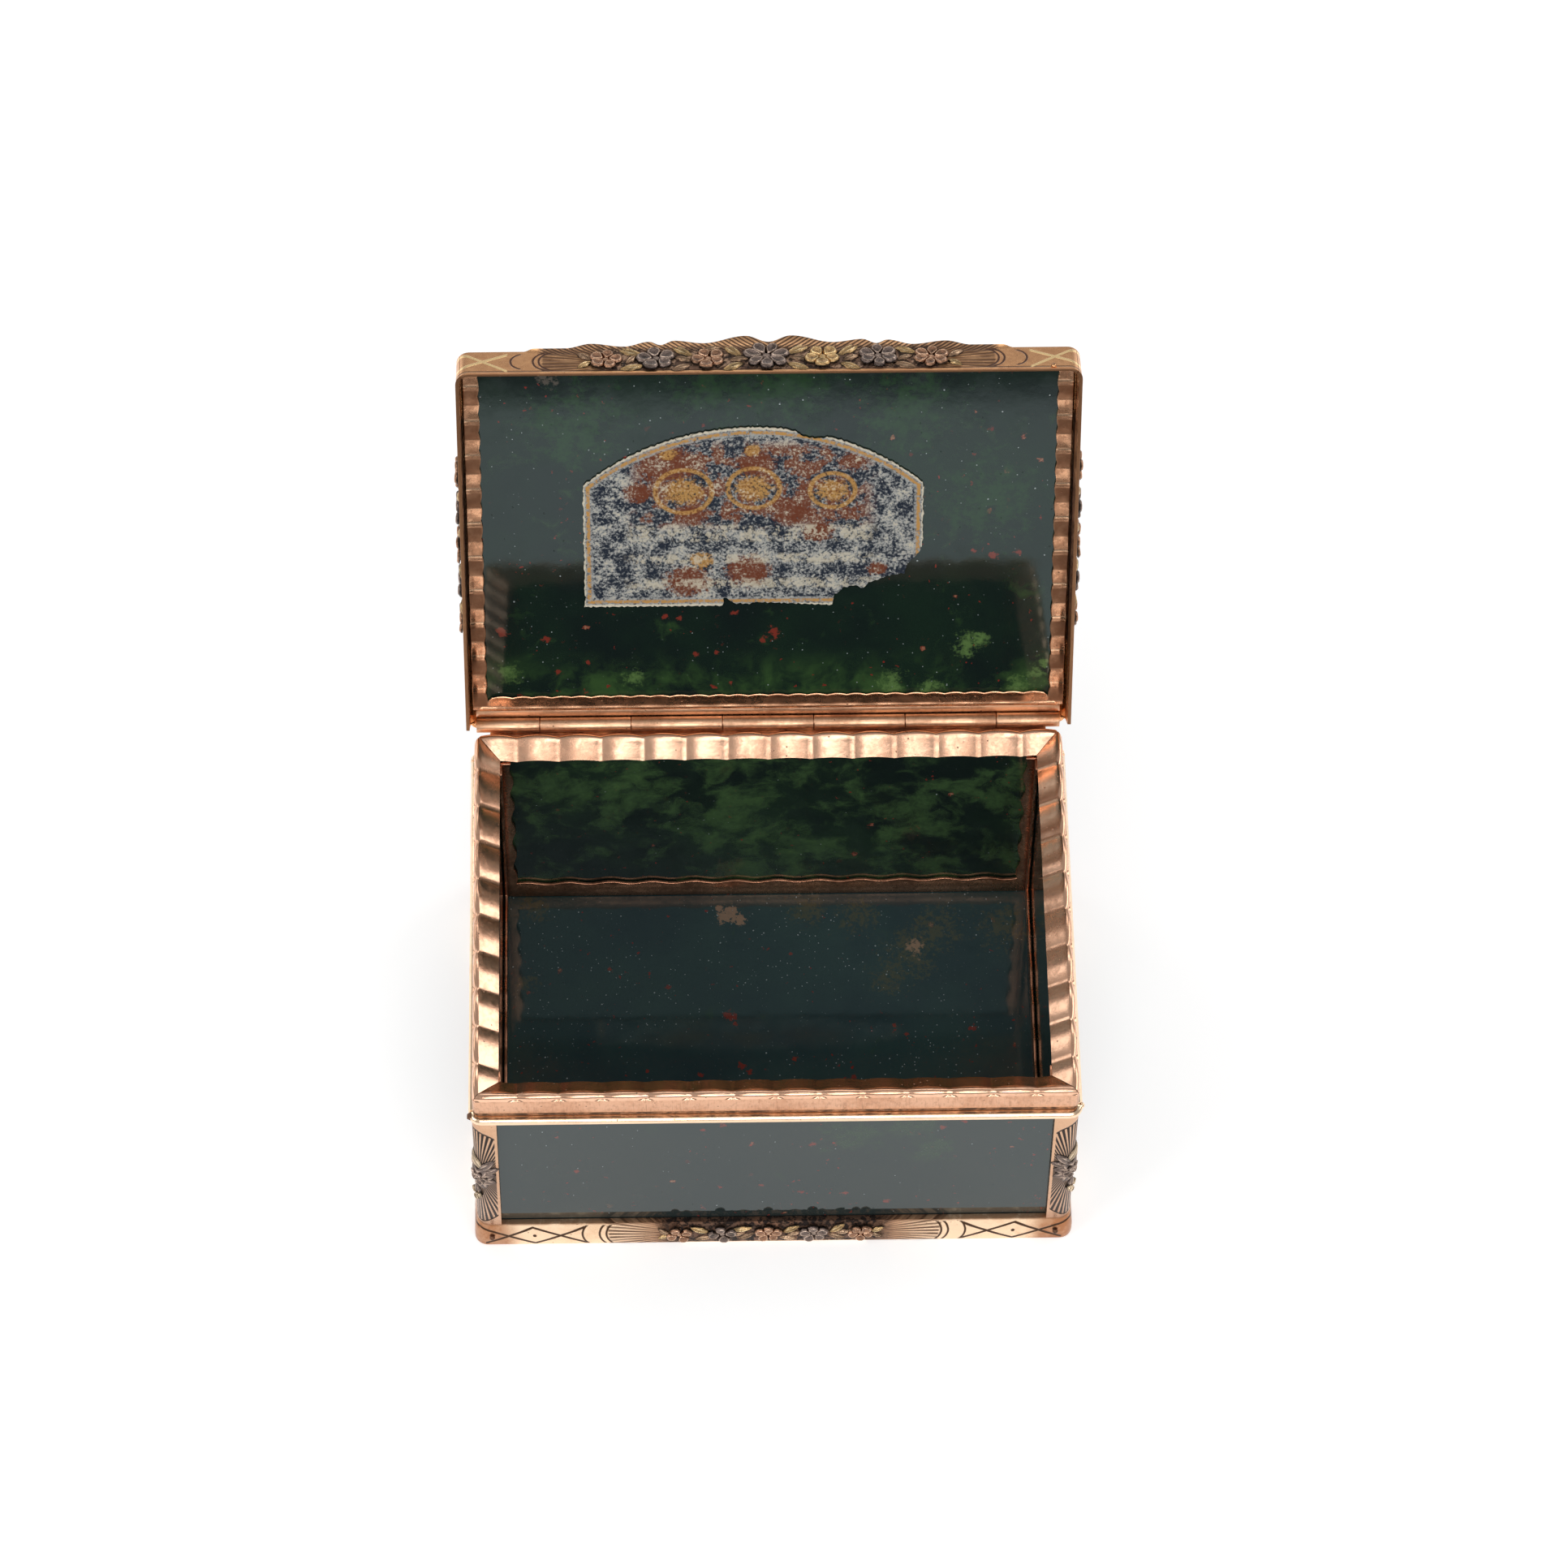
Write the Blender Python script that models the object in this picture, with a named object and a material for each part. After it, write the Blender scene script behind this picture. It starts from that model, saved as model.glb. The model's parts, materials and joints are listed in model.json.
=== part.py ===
"""Hardstone snuff box with a hinged lid, in a cage of chased gold mounts.

X runs to the right, -Y is the front, +Z is up. The origin is the middle of the
underside. All sizes are in metres. The lid stands open against its stop.
"""
import math

import bmesh
import bpy
from mathutils import Matrix, Vector

# Clearances
SEAT_GAP = 0.0001          # between pieces that touch
LID_SIDE_GAP = 0.00022     # between the upright band and the lid's walls
LID_SEAT = 0.00015         # between the ledge and the closed lid
MOUTH_CLEARANCE = 0.00025  # between the mouth flange and the closed lid's inner strips
PIN_CLEARANCE = 0.00008    # between the hinge pin and the bores, on the radius
STOP_GAP = 0.00012         # between the hinge rail and the open lid's back edge

# Case
CASE_WIDTH = 0.0739        # across the upright band
CASE_DEPTH = 0.0531
MOUTH_HEIGHT = 0.0358      # top of the mouth flange's outer edge
CORNER_RADIUS = 0.0016     # of the base, the pilasters, the ledge and the lid
BASE_PROUD = 0.0006        # base mount beyond the band
BASE_HEIGHT = 0.0042
BASE_BORDER = 0.0029       # metal seen round the floor panel from below
BASE_EDGE = 0.0007         # rounding of the base mount's lower edge
FLOOR_THICKNESS = 0.0022
PANEL_THICKNESS = 0.0023
PANEL_RECESS = 0.00065     # wall panels behind the band's outer face
STONE_CHAMFER = 0.0003
PILASTER_LEG = 0.0032
PILASTER_PROUD = 0.0002
LEDGE_PROUD = 0.0006
LEDGE_HEIGHT = 0.00115
LEDGE_DROP = 0.00465       # from the mouth down to the top of the ledge
BAND_THICKNESS = 0.00055
BAND_FRONT_RADIUS = 0.0007
BAND_BACK_CHAMFER = 0.0011
GROOVE_HEIGHT = 0.0010
GROOVE_DEPTH = 0.0002
FLANGE_WIDTH = 0.0032
FLANGE_FALL = 0.0016       # how far the flange slopes down towards the opening
FLANGE_THICKNESS = 0.0005
FLUTE_DEPTH = 0.00025
FLUTE_PITCH = 0.0050
FLUTE_PROFILE = ((0.0, 0.4), (0.2, 1.0), (0.8, 1.0), (1.0, 0.5))  # place across, share of the depth
RETAINER_THICKNESS = 0.0004
RETAINER_SILL = 0.0030     # wall retainers, height of the lower strip
RETAINER_STILE = 0.0015    # wall retainers, width of the upright strips
WAVE_PITCH = 0.0055
WAVE_HEIGHT = 0.00025
CORNER_PIN_RADIUS = 0.0004
CORNER_PIN_HEIGHT = 0.0002
CORNER_PIN_INSET = 0.0022

# Hinge
BARREL_RADIUS = 0.00095
BARREL_GAP = 0.00023       # barrel behind the band
AXIS_DROP = 0.00005        # hinge axis below the mouth
PIN_RADIUS = 0.00042
END_KNUCKLE = 0.0080
MIDDLE_KNUCKLES = 5
BARREL_END_GAP = 0.00045   # barrel to the lid's side walls
FOOT_HALF_WIDTH = 0.0005
FOOT_REACH = 0.00105       # hinge axis to the end of a knuckle's foot
RAIL_WIDTH = 0.0700
OPEN_ANGLE = math.radians(111.0)

# Lid
LID_WALL = 0.0006
LID_FACE = 0.0049          # height of the upright faces of the lid mount
LID_BACK_REACH = 0.00135   # lid mount behind the hinge axis
LID_BACK_FACE = 0.0006
LID_BACK_SEAT = 0.0019     # width of the back mount's underside
LID_BORDER = 0.0029        # width of the lid mount's sloping border
LID_SHOULDER = 0.0019      # outer face to the top of the border's slope
LID_SHOULDER_DROP = 0.00025
LID_LIP_REACH = 0.00065    # border's inner lip over the lid panel
LID_LIP_THICKNESS = 0.0005
LID_END_CUT = 0.0023       # where the side walls start to rise towards the hinge
LID_END_TOP = 0.0005       # how far behind the axis that rise ends
LID_STONE_THICKNESS = 0.00175
LID_STONE_INSET = 0.00135  # edge of the lid panel behind the lid mount's faces
LID_RETAINER_THICKNESS = 0.0003
LID_RETAINER_SIDE = 0.0017
LID_RETAINER_BACK = 0.0019
LID_RETAINER_FRONT = 0.0013
LID_LEAF_START = 0.00105
LID_LEAF_WIDTH = 0.0009
CREST_THICKNESS = 0.00045
CREST_FOOT = 0.00015
CREST_LEAN = 0.43          # outward lean of the crest for each unit of its rise
CREST = (                  # distance from the middle and rise above the lid mount's face
    (0.0, 0.00104), (0.00275, 0.00187), (0.00785, 0.00093), (0.0114, 0.0013),
    (0.0131, 0.00073), (0.0144, 0.00119), (0.0175, 0.00057), (0.0215, 0.00099),
    (0.0245, 0.00042), (0.0284, 0.00042), (0.0296, 0.0),
)

# Paper label on the lid's inner face
LABEL_WIDTH = 0.0421
LABEL_SIDE_HEIGHT = 0.0180
LABEL_ARCH_RISE = 0.0083
LABEL_CENTRE_X = -0.00185
LABEL_LOW_EDGE = 0.01755   # hinge axis to the label's straight edge
LABEL_TEAR = ((0.0110, 0.0), (0.0108, 0.0028), (0.0075, 0.0037), (0.0018, 0.0048), (0.0, 0.0085))
LABEL_THICKNESS = 0.00015

# Chased sprays: place along the face and radius of each flower
RELIEF = 0.0005
FLOWER_TAPER = 0.75        # top of each relief as a share of its foot
LEAF_TAPER = 0.6
PETAL_WAIST = 0.62         # radius between two petals as a share of the flower's radius
PETAL_CORNERS = ((0.0, PETAL_WAIST), (0.3, 1.0), (0.7, 1.0))
STEM_HALF_WIDTH = 0.00025
STEM_FOOT = 0.00005
STEM_TOP = 0.0003
LEAF_HALF_WIDTH = 0.0004
LID_LEAF_RISE = 0.0019     # from the stem to a leaf's outer tip
BASE_LEAF_RISE = 0.0015
LID_FRONT_FLOWERS = ((-0.0199, 0.0012), (-0.0129, 0.0016), (-0.0074, 0.0012), (-0.0002, 0.0019),
                     (0.0065, 0.0013), (0.0131, 0.0017), (0.0194, 0.0013))
LID_SIDE_FLOWERS = ((-0.0105, 0.0011), (-0.0053, 0.0013), (0.0, 0.0015), (0.0053, 0.0013),
                    (0.0105, 0.0011))
BASE_FLOWERS = ((-0.0119, 0.0012), (-0.0065, 0.0012), (-0.0007, 0.0014), (0.0047, 0.0012),
                (0.0106, 0.0011))
LID_SPRAY_CENTRE = 0.0285   # middle of the side sprays, from the hinge axis
BASE_SPRAY_HEIGHT = 0.0023
PILASTER_FLOWER = 0.0015
PILASTER_LEAF_START = 0.0017
PILASTER_LEAF_LENGTH = 0.0026

# Smoothness
ARC_STEPS = 4
FLUTE_STEPS = 6
WAVE_STEPS = 6
KNUCKLE_STEPS = 16
PIN_STEPS = 16
PIN_HEAD_STEPS = 8
BAND_STEPS = (4, 2, 2, 4)  # round the band's corners, from the front right one
ARCH_STEPS = 12
PETALS = 5
SHARP_ANGLE = math.radians(40.0)
LEAST_RADIUS = 0.00004

# Places that follow from the sizes above
HALF_X = CASE_WIDTH / 2
HALF_Y = CASE_DEPTH / 2
BASE_X = HALF_X + BASE_PROUD
BASE_Y = HALF_Y + BASE_PROUD
PANEL_X = HALF_X - PANEL_RECESS
PANEL_Y = HALF_Y - PANEL_RECESS
BACKING_INSET = BASE_PROUD + PANEL_RECESS - SEAT_GAP   # base mount's wall, up to the panels
PANEL_FOOT = FLOOR_THICKNESS + SEAT_GAP
FLANGE_SLOPE = FLANGE_FALL / FLANGE_WIDTH
PANEL_TOP = (MOUTH_HEIGHT - FLANGE_THICKNESS - SEAT_GAP
             - FLANGE_SLOPE * (PANEL_RECESS + PANEL_THICKNESS))
PANEL_CORNER = (BAND_BACK_CHAMFER - BAND_THICKNESS + SEAT_GAP * math.sqrt(2.0)
                - 2 * (PANEL_RECESS - BAND_THICKNESS))  # bevel of the wall panels' outer corners
LEDGE_TOP = MOUTH_HEIGHT - LEDGE_DROP
LEDGE_FOOT = LEDGE_TOP - LEDGE_HEIGHT
AXIS_Y = HALF_Y + BARREL_GAP + BARREL_RADIUS
AXIS_Z = MOUTH_HEIGHT - AXIS_DROP

LID_HALF_X = HALF_X + LID_SIDE_GAP + LID_WALL
LID_REACH = AXIS_Y + HALF_Y + LID_SIDE_GAP + LID_WALL  # hinge axis to the lid's front face
LID_RIM = LEDGE_TOP + LID_SEAT - AXIS_Z                # lower edge of the lid's walls
LID_FACE_TOP = LID_RIM + LID_FACE
LID_BACK_FOOT = FOOT_REACH + SEAT_GAP
STRIP_FOOT = AXIS_DROP + MOUTH_CLEARANCE               # inner strips of the lid
STRIP_TOP = STRIP_FOOT + LID_RETAINER_THICKNESS
LID_STONE_FOOT = STRIP_TOP + SEAT_GAP
LID_STONE_TOP = LID_STONE_FOOT + LID_STONE_THICKNESS
LID_LIP_FOOT = LID_STONE_TOP + SEAT_GAP
LID_LIP_TOP = LID_LIP_FOOT + LID_LIP_THICKNESS
LID_LIP_INSET = LID_BORDER - LID_LIP_REACH
LID_BEND = STRIP_TOP + SEAT_GAP / 2                    # where the border leaves the walls
BARREL_END = LID_HALF_X - LID_WALL - BARREL_END_GAP
LEAF_END = LID_LEAF_START + LID_LEAF_WIDTH

COLOURS = {
    "gold": ((0.62, 0.33, 0.17), 0.32, 1.0),
    "bright_gold": ((0.80, 0.52, 0.30), 0.25, 1.0),
    "dark_gold": ((0.17, 0.11, 0.08), 0.55, 1.0),
    "bloodstone": ((0.012, 0.030, 0.026), 0.12, 0.0),
    "paper": ((0.42, 0.40, 0.36), 0.9, 0.0),
}


def material(name):
    """Principled material of one of the box's finishes."""
    found = bpy.data.materials.get(name)
    if found:
        return found
    colour, roughness, metallic = COLOURS[name]
    made = bpy.data.materials.new(name)
    made.use_nodes = True
    shader = made.node_tree.nodes["Principled BSDF"]
    shader.inputs["Base Color"].default_value = (*colour, 1.0)
    shader.inputs["Roughness"].default_value = roughness
    shader.inputs["Metallic"].default_value = metallic
    made.diffuse_color = (*colour, 1.0)
    return made


def clear_scene():
    """Remove every object of the open file."""
    for obj in list(bpy.data.objects):
        bpy.data.objects.remove(obj, do_unlink=True)


def lid_axis():
    """Empty on the hinge axis that carries the lid and holds it open."""
    axis = bpy.data.objects.new("lid_axis", None)
    axis.location = (0.0, AXIS_Y, AXIS_Z)
    axis.rotation_euler = (-OPEN_ANGLE, 0.0, 0.0)
    bpy.context.scene.collection.objects.link(axis)
    return axis


def place(mesh_builder, name, finish, parent=None, smooth=False):
    """Turn a bmesh into a named object with its finish, under its parent."""
    bmesh.ops.recalc_face_normals(mesh_builder, faces=mesh_builder.faces)
    mesh = bpy.data.meshes.new(name)
    mesh_builder.to_mesh(mesh)
    mesh_builder.free()
    mesh.materials.append(material(finish))
    if smooth:
        mesh.shade_smooth()
        mesh.set_sharp_from_angle(angle=SHARP_ANGLE)
    obj = bpy.data.objects.new(name, mesh)
    bpy.context.scene.collection.objects.link(obj)
    obj.parent = parent
    return obj


def loft(sections, closed=False):
    """Skin a row of sections with equal point counts; cap the ends of an open row."""
    bm = bmesh.new()
    rows = [[bm.verts.new(point) for point in section] for section in sections]
    count = len(rows[0])
    spans = len(rows) if closed else len(rows) - 1
    for i in range(spans):
        row, following = rows[i], rows[(i + 1) % len(rows)]
        for k in range(count):
            bm.faces.new((row[k], row[(k + 1) % count], following[(k + 1) % count], following[k]))
    if not closed:
        bm.faces.new(rows[0])
        bm.faces.new(list(reversed(rows[-1])))
    return bm


def prism(outline, low, high):
    """Upright prism over an outline of (x, y) points."""
    return loft([[(x, y, z) for x, y in outline] for z in (low, high)])


def block(levels):
    """Solid through rectangles, each given as (x0, y0, x1, y1, height)."""
    sections = []
    for x0, y0, x1, y1, z in levels:
        sections.append([(x0, y0, z), (x1, y0, z), (x1, y1, z), (x0, y1, z)])
    return loft(sections)


def trim(bm, point, normal):
    """Cut a solid by a plane, drop what lies beyond it and close the cut."""
    geometry = bm.verts[:] + bm.edges[:] + bm.faces[:]
    bmesh.ops.bisect_plane(bm, geom=geometry, dist=1e-8, plane_co=point, plane_no=normal,
                           clear_outer=True)
    open_edges = [edge for edge in bm.edges if edge.is_boundary]
    if open_edges:
        bmesh.ops.edgeloop_fill(bm, edges=open_edges)
    return bm


def mitre(bm, half_x, half_y, side, centre_y=0.0, gap=SEAT_GAP):
    """Keep one side of a frame, cut at both ends along its corners' diagonals."""
    turn = {"front": 0, "right": 1, "back": 2, "left": 3}[side]
    corners = [Vector((half_x, -half_y)), Vector((half_x, half_y)),
               Vector((-half_x, half_y)), Vector((-half_x, -half_y))]
    along = [Vector((1, 0)), Vector((0, 1)), Vector((-1, 0)), Vector((0, -1))][turn]
    outward = Vector((along.y, -along.x))
    for corner, sense in ((corners[turn], 1), (corners[turn - 1], -1)):
        normal = (along * sense - outward).normalized()
        point = corner - normal * gap / 2
        trim(bm, (point.x, point.y + centre_y, 0.0), (normal.x, normal.y, 0.0))
    return bm


def corner_stations(steps_per_corner):
    """Corner signs and directions round a rectangle, anticlockwise from front right."""
    signs = ((1, -1), (1, 1), (-1, 1), (-1, -1))
    stations = []
    for k, (sx, sy) in enumerate(signs):
        steps = steps_per_corner[k]
        for i in range(steps + 1):
            angle = math.radians(-90 + 90 * (k + i / steps))
            stations.append((sx, sy, math.cos(angle), math.sin(angle)))
    return stations


def station_point(station, half_x, half_y, radius, inset):
    """Point of a rounded rectangle, drawn in by inset, at a corner station."""
    sx, sy, cosine, sine = station
    bend = max(radius - inset, LEAST_RADIUS)
    x = sx * (half_x - inset - bend) + bend * cosine
    y = sy * (half_y - inset - bend) + bend * sine
    return x, y


def frame(half_x, half_y, radius, section, steps=(ARC_STEPS,) * 4):
    """Sweep a section of (inset, height) points round a rounded rectangle."""
    rings = []
    for station in corner_stations(steps):
        ring = []
        for inset, height in section:
            x, y = station_point(station, half_x, half_y, radius, inset)
            ring.append((x, y, height))
        rings.append(ring)
    return loft(rings, closed=True)


def wavy(start, end, level, height, pitch):
    """Points of a wavy line from start to end about a level."""
    waves = max(1, round(abs(end - start) / pitch))
    count = waves * WAVE_STEPS
    points = []
    for i in range(count + 1):
        share = i / count
        swing = height * math.sin(2 * math.pi * waves * share)
        points.append((start + (end - start) * share, level + swing))
    return points


def build_base():
    """Rounded base mount with a shelf for the wall panels, and the floor panel."""
    shelf = BASE_BORDER
    section = [
        (shelf, 0.0), (BASE_EDGE, 0.0), (BASE_EDGE / 4, BASE_EDGE / 4), (0.0, BASE_EDGE),
        (0.0, BASE_HEIGHT), (BACKING_INSET, BASE_HEIGHT), (BACKING_INSET, FLOOR_THICKNESS),
        (shelf, FLOOR_THICKNESS),
    ]
    place(frame(BASE_X, BASE_Y, CORNER_RADIUS, section), "base_mount", "bright_gold", smooth=True)
    x = BASE_X - shelf - SEAT_GAP
    y = BASE_Y - shelf - SEAT_GAP
    cut = STONE_CHAMFER
    levels = [(-x + cut, -y + cut, x - cut, y - cut, 0.0), (-x, -y, x, y, cut),
              (-x, -y, x, y, FLOOR_THICKNESS)]
    place(block(levels), "base_stone", "bloodstone")


def panel_outline(half_length, half_width, thickness):
    """Plan of a mitred panel with bevelled outer corners, as (along, outward) points."""
    slack = SEAT_GAP * math.sqrt(0.5)
    cut = PANEL_CORNER
    half = [(half_length - cut, half_width), (half_length - cut / 2 - slack, half_width - cut / 2),
            (half_length - thickness - slack, half_width - thickness)]
    return half + [(-along, outward) for along, outward in reversed(half)]


def build_walls():
    """Four mitred wall panels."""
    outline = panel_outline(PANEL_X, PANEL_Y, PANEL_THICKNESS)
    for sign, name in ((-1, "front_stone"), (1, "back_stone")):
        points = [(along, sign * outward) for along, outward in outline]
        place(prism(points, PANEL_FOOT, PANEL_TOP), name, "bloodstone")
    outline = panel_outline(PANEL_Y, PANEL_X, PANEL_THICKNESS)
    for sign, name in ((-1, "left_stone"), (1, "right_stone")):
        points = [(sign * outward, along) for along, outward in outline]
        place(prism(points, PANEL_FOOT, PANEL_TOP), name, "bloodstone")


def wall_retainer(width, name, matrix):
    """Strip frame, open at the top, whose wavy edge holds a wall panel from inside."""
    half = width / 2
    low = PANEL_FOOT
    high = PANEL_TOP
    sill = low + RETAINER_SILL
    stile = half - RETAINER_STILE
    outline = [(-half, high), (-half, low), (half, low), (half, high)]
    stile_edge = wavy(high, sill, stile, WAVE_HEIGHT, WAVE_PITCH)
    outline += [(x, z) for z, x in stile_edge]
    outline += wavy(stile, -stile, sill, WAVE_HEIGHT, WAVE_PITCH)[1:-1]
    outline += [(-x, z) for z, x in reversed(stile_edge)]
    bm = loft([[(x, y, z) for x, z in outline] for y in (0.0, RETAINER_THICKNESS)])
    bmesh.ops.transform(bm, matrix=matrix, verts=bm.verts)
    place(bm, name, "dark_gold")


def build_wall_retainers():
    """Retainers of the four wall panels, standing on the floor panel."""
    inner_x = PANEL_X - PANEL_THICKNESS - SEAT_GAP
    inner_y = PANEL_Y - PANEL_THICKNESS - SEAT_GAP
    long_width = 2 * inner_x
    short_width = 2 * (inner_y - RETAINER_THICKNESS - SEAT_GAP)
    wall_retainer(long_width, "wall_retainer_front", Matrix.Translation((0, -inner_y, 0)))
    turned = Matrix.Rotation(math.pi, 4, "Z")
    wall_retainer(long_width, "wall_retainer_back", Matrix.Translation((0, inner_y, 0)) @ turned)
    quarter = Matrix.Rotation(math.pi / 2, 4, "Z")
    wall_retainer(short_width, "wall_retainer_right", Matrix.Translation((inner_x, 0, 0)) @ quarter)
    wall_retainer(short_width, "wall_retainer_left",
                  Matrix.Translation((-inner_x, 0, 0)) @ turned @ quarter)


def corners():
    """Names and signs of the four upright corners."""
    return (("front_left", -1, -1), ("front_right", 1, -1), ("back_left", -1, 1), ("back_right", 1, 1))


def build_pilasters():
    """Angle pilasters with a rounded outer corner at the four upright edges."""
    outer_x = HALF_X + PILASTER_PROUD
    outer_y = HALF_Y + PILASTER_PROUD
    thickness = PILASTER_PROUD + PANEL_RECESS - SEAT_GAP
    outline = [(outer_x - PILASTER_LEG, outer_y - thickness), (outer_x - PILASTER_LEG, outer_y)]
    for i in range(ARC_STEPS + 1):
        angle = math.radians(90 - 90 * i / ARC_STEPS)
        outline.append((outer_x - CORNER_RADIUS * (1 - math.cos(angle)),
                        outer_y - CORNER_RADIUS * (1 - math.sin(angle))))
    outline += [(outer_x, outer_y - PILASTER_LEG), (outer_x - thickness, outer_y - PILASTER_LEG),
                (outer_x - thickness, outer_y - thickness)]
    low = BASE_HEIGHT + SEAT_GAP
    high = LEDGE_FOOT - SEAT_GAP
    for corner, sx, sy in corners():
        points = [(sx * x, sy * y) for x, y in outline]
        place(prism(points, low, high), "corner_pilaster_" + corner, "gold", smooth=True)


def build_band():
    """Upright band with a groove at its foot; its back corners are cut off."""
    face = MOUTH_HEIGHT - FLANGE_THICKNESS - SEAT_GAP
    groove_top = LEDGE_TOP + GROOVE_HEIGHT
    foot = LEDGE_TOP + SEAT_GAP
    section = [
        (BAND_THICKNESS, foot), (GROOVE_DEPTH, foot), (GROOVE_DEPTH, groove_top - GROOVE_DEPTH),
        (0.0, groove_top), (0.0, face), (BAND_THICKNESS, face),
    ]
    rings = []
    for station in corner_stations(BAND_STEPS):
        radius = BAND_FRONT_RADIUS if station[1] < 0 else BAND_BACK_CHAMFER
        ring = []
        for inset, height in section:
            x, y = station_point(station, HALF_X, HALF_Y, radius, inset)
            under_flange = face - FLANGE_SLOPE * min(HALF_X - abs(x), HALF_Y - abs(y))
            ring.append((x, y, under_flange if height == face else height))
        rings.append(ring)
    place(loft(rings, closed=True), "bezel_band", "gold", smooth=True)


def flange_strip(half_length, half_width_other, side):
    """One fluted strip of the mouth flange, mitred at its ends."""
    flutes = round(2 * half_length / FLUTE_PITCH)
    count = flutes * FLUTE_STEPS
    sections = []
    for i in range(count + 1):
        along = -half_length + 2 * half_length * i / count
        dip = FLUTE_DEPTH * (0.5 - 0.5 * math.cos(2 * math.pi * i / FLUTE_STEPS))
        section = []
        for inset, share in FLUTE_PROFILE:
            depth = inset * FLANGE_WIDTH
            top = MOUTH_HEIGHT - FLANGE_SLOPE * depth - dip * share
            section.append((along, -half_width_other + depth, top))
        foot = MOUTH_HEIGHT - FLANGE_THICKNESS
        section.append((along, -half_width_other + FLANGE_WIDTH, foot - FLANGE_FALL))
        section.append((along, -half_width_other, foot))
        sections.append(section)
    bm = loft(sections)
    mitre(bm, half_length, half_width_other, "front")
    turns = {"front": 0, "right": 1, "back": 2, "left": 3}[side]
    bmesh.ops.rotate(bm, verts=bm.verts, cent=(0, 0, 0),
                     matrix=Matrix.Rotation(turns * math.pi / 2, 3, "Z"))
    for _, sx, sy in corners():
        cut = BAND_FRONT_RADIUS * (2 - math.sqrt(2)) if sy < 0 else BAND_BACK_CHAMFER
        trim(bm, (sx * (HALF_X - cut), sy * HALF_Y, 0.0), (sx, sy, 0.0))
    place(bm, "mouth_flange_" + side, "gold")


def build_mouth_flange():
    """Four fluted strips that slope down from the band to the opening."""
    for side in ("front", "back"):
        flange_strip(HALF_X, HALF_Y, side)
    for side in ("left", "right"):
        flange_strip(HALF_Y, HALF_X, side)


def build_ledge():
    """Ledge moulding: the front strip wraps the corners, the side strips are pointed."""
    half_x = HALF_X + LEDGE_PROUD
    half_y = HALF_Y + LEDGE_PROUD
    inner = LEDGE_PROUD + PANEL_RECESS - SEAT_GAP
    edge = LEDGE_HEIGHT / 4
    section = [
        (inner, LEDGE_FOOT), (edge, LEDGE_FOOT), (0.0, LEDGE_FOOT + edge), (0.0, LEDGE_TOP - edge),
        (edge, LEDGE_TOP), (inner, LEDGE_TOP),
    ]
    for sy, name in ((-1, "ledge_front"), (1, "ledge_back")):
        bm = frame(half_x, half_y, CORNER_RADIUS, section)
        trim(bm, (0.0, sy * (half_y - CORNER_RADIUS), 0.0), (0.0, -sy, 0.0))
        place(bm, name, "bright_gold", smooth=True)
    reach = half_y - CORNER_RADIUS - SEAT_GAP
    middle = LEDGE_FOOT + LEDGE_HEIGHT / 2
    profile = [
        (half_x - inner, LEDGE_FOOT), (half_x - 2 * edge, LEDGE_FOOT), (half_x, middle),
        (half_x - edge, LEDGE_TOP), (half_x - inner, LEDGE_TOP),
    ]
    for sx, name in ((-1, "ledge_left"), (1, "ledge_right")):
        bm = loft([[(sx * x, y, z) for x, z in profile] for y in (-reach, reach)])
        place(bm, name, "bright_gold")


def knuckle(start, end, name, finish, matrix, parent=None):
    """Bored hinge knuckle along X with a foot that points down before it is turned."""
    bore = PIN_RADIUS + PIN_CLEARANCE
    lean = math.asin(FOOT_HALF_WIDTH / BARREL_RADIUS)
    outline = []
    for i in range(KNUCKLE_STEPS + 1):
        angle = -math.pi / 2 + lean + (2 * math.pi - 2 * lean) * i / KNUCKLE_STEPS
        outline.append((BARREL_RADIUS * math.cos(angle), BARREL_RADIUS * math.sin(angle)))
    outline += [(-FOOT_HALF_WIDTH, -FOOT_REACH), (FOOT_HALF_WIDTH, -FOOT_REACH)]
    bm = bmesh.new()
    loops = []
    for x in (start, end):
        outer = [bm.verts.new((x, y, z)) for y, z in outline]
        inner = []
        for y, z in outline:
            scale = bore / math.hypot(y, z)
            inner.append(bm.verts.new((x, y * scale, z * scale)))
        loops.append((outer, inner))
    count = len(outline)
    (outer_a, inner_a), (outer_b, inner_b) = loops
    for k in range(count):
        n = (k + 1) % count
        bm.faces.new((outer_a[k], outer_a[n], outer_b[n], outer_b[k]))
        bm.faces.new((inner_a[k], inner_b[k], inner_b[n], inner_a[n]))
        bm.faces.new((outer_a[k], inner_a[k], inner_a[n], outer_a[n]))
        bm.faces.new((outer_b[k], outer_b[n], inner_b[n], inner_b[k]))
    bmesh.ops.transform(bm, matrix=matrix, verts=bm.verts)
    place(bm, name, finish, parent=parent, smooth=True)


def knuckle_spans():
    """Start and end of each knuckle along the barrel."""
    middle = 2 * (BARREL_END - END_KNUCKLE) / MIDDLE_KNUCKLES
    edges = [-BARREL_END] + [-BARREL_END + END_KNUCKLE + middle * i for i in range(MIDDLE_KNUCKLES + 1)]
    edges.append(BARREL_END)
    return [(a + SEAT_GAP / 2, b - SEAT_GAP / 2) for a, b in zip(edges, edges[1:])]


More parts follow.
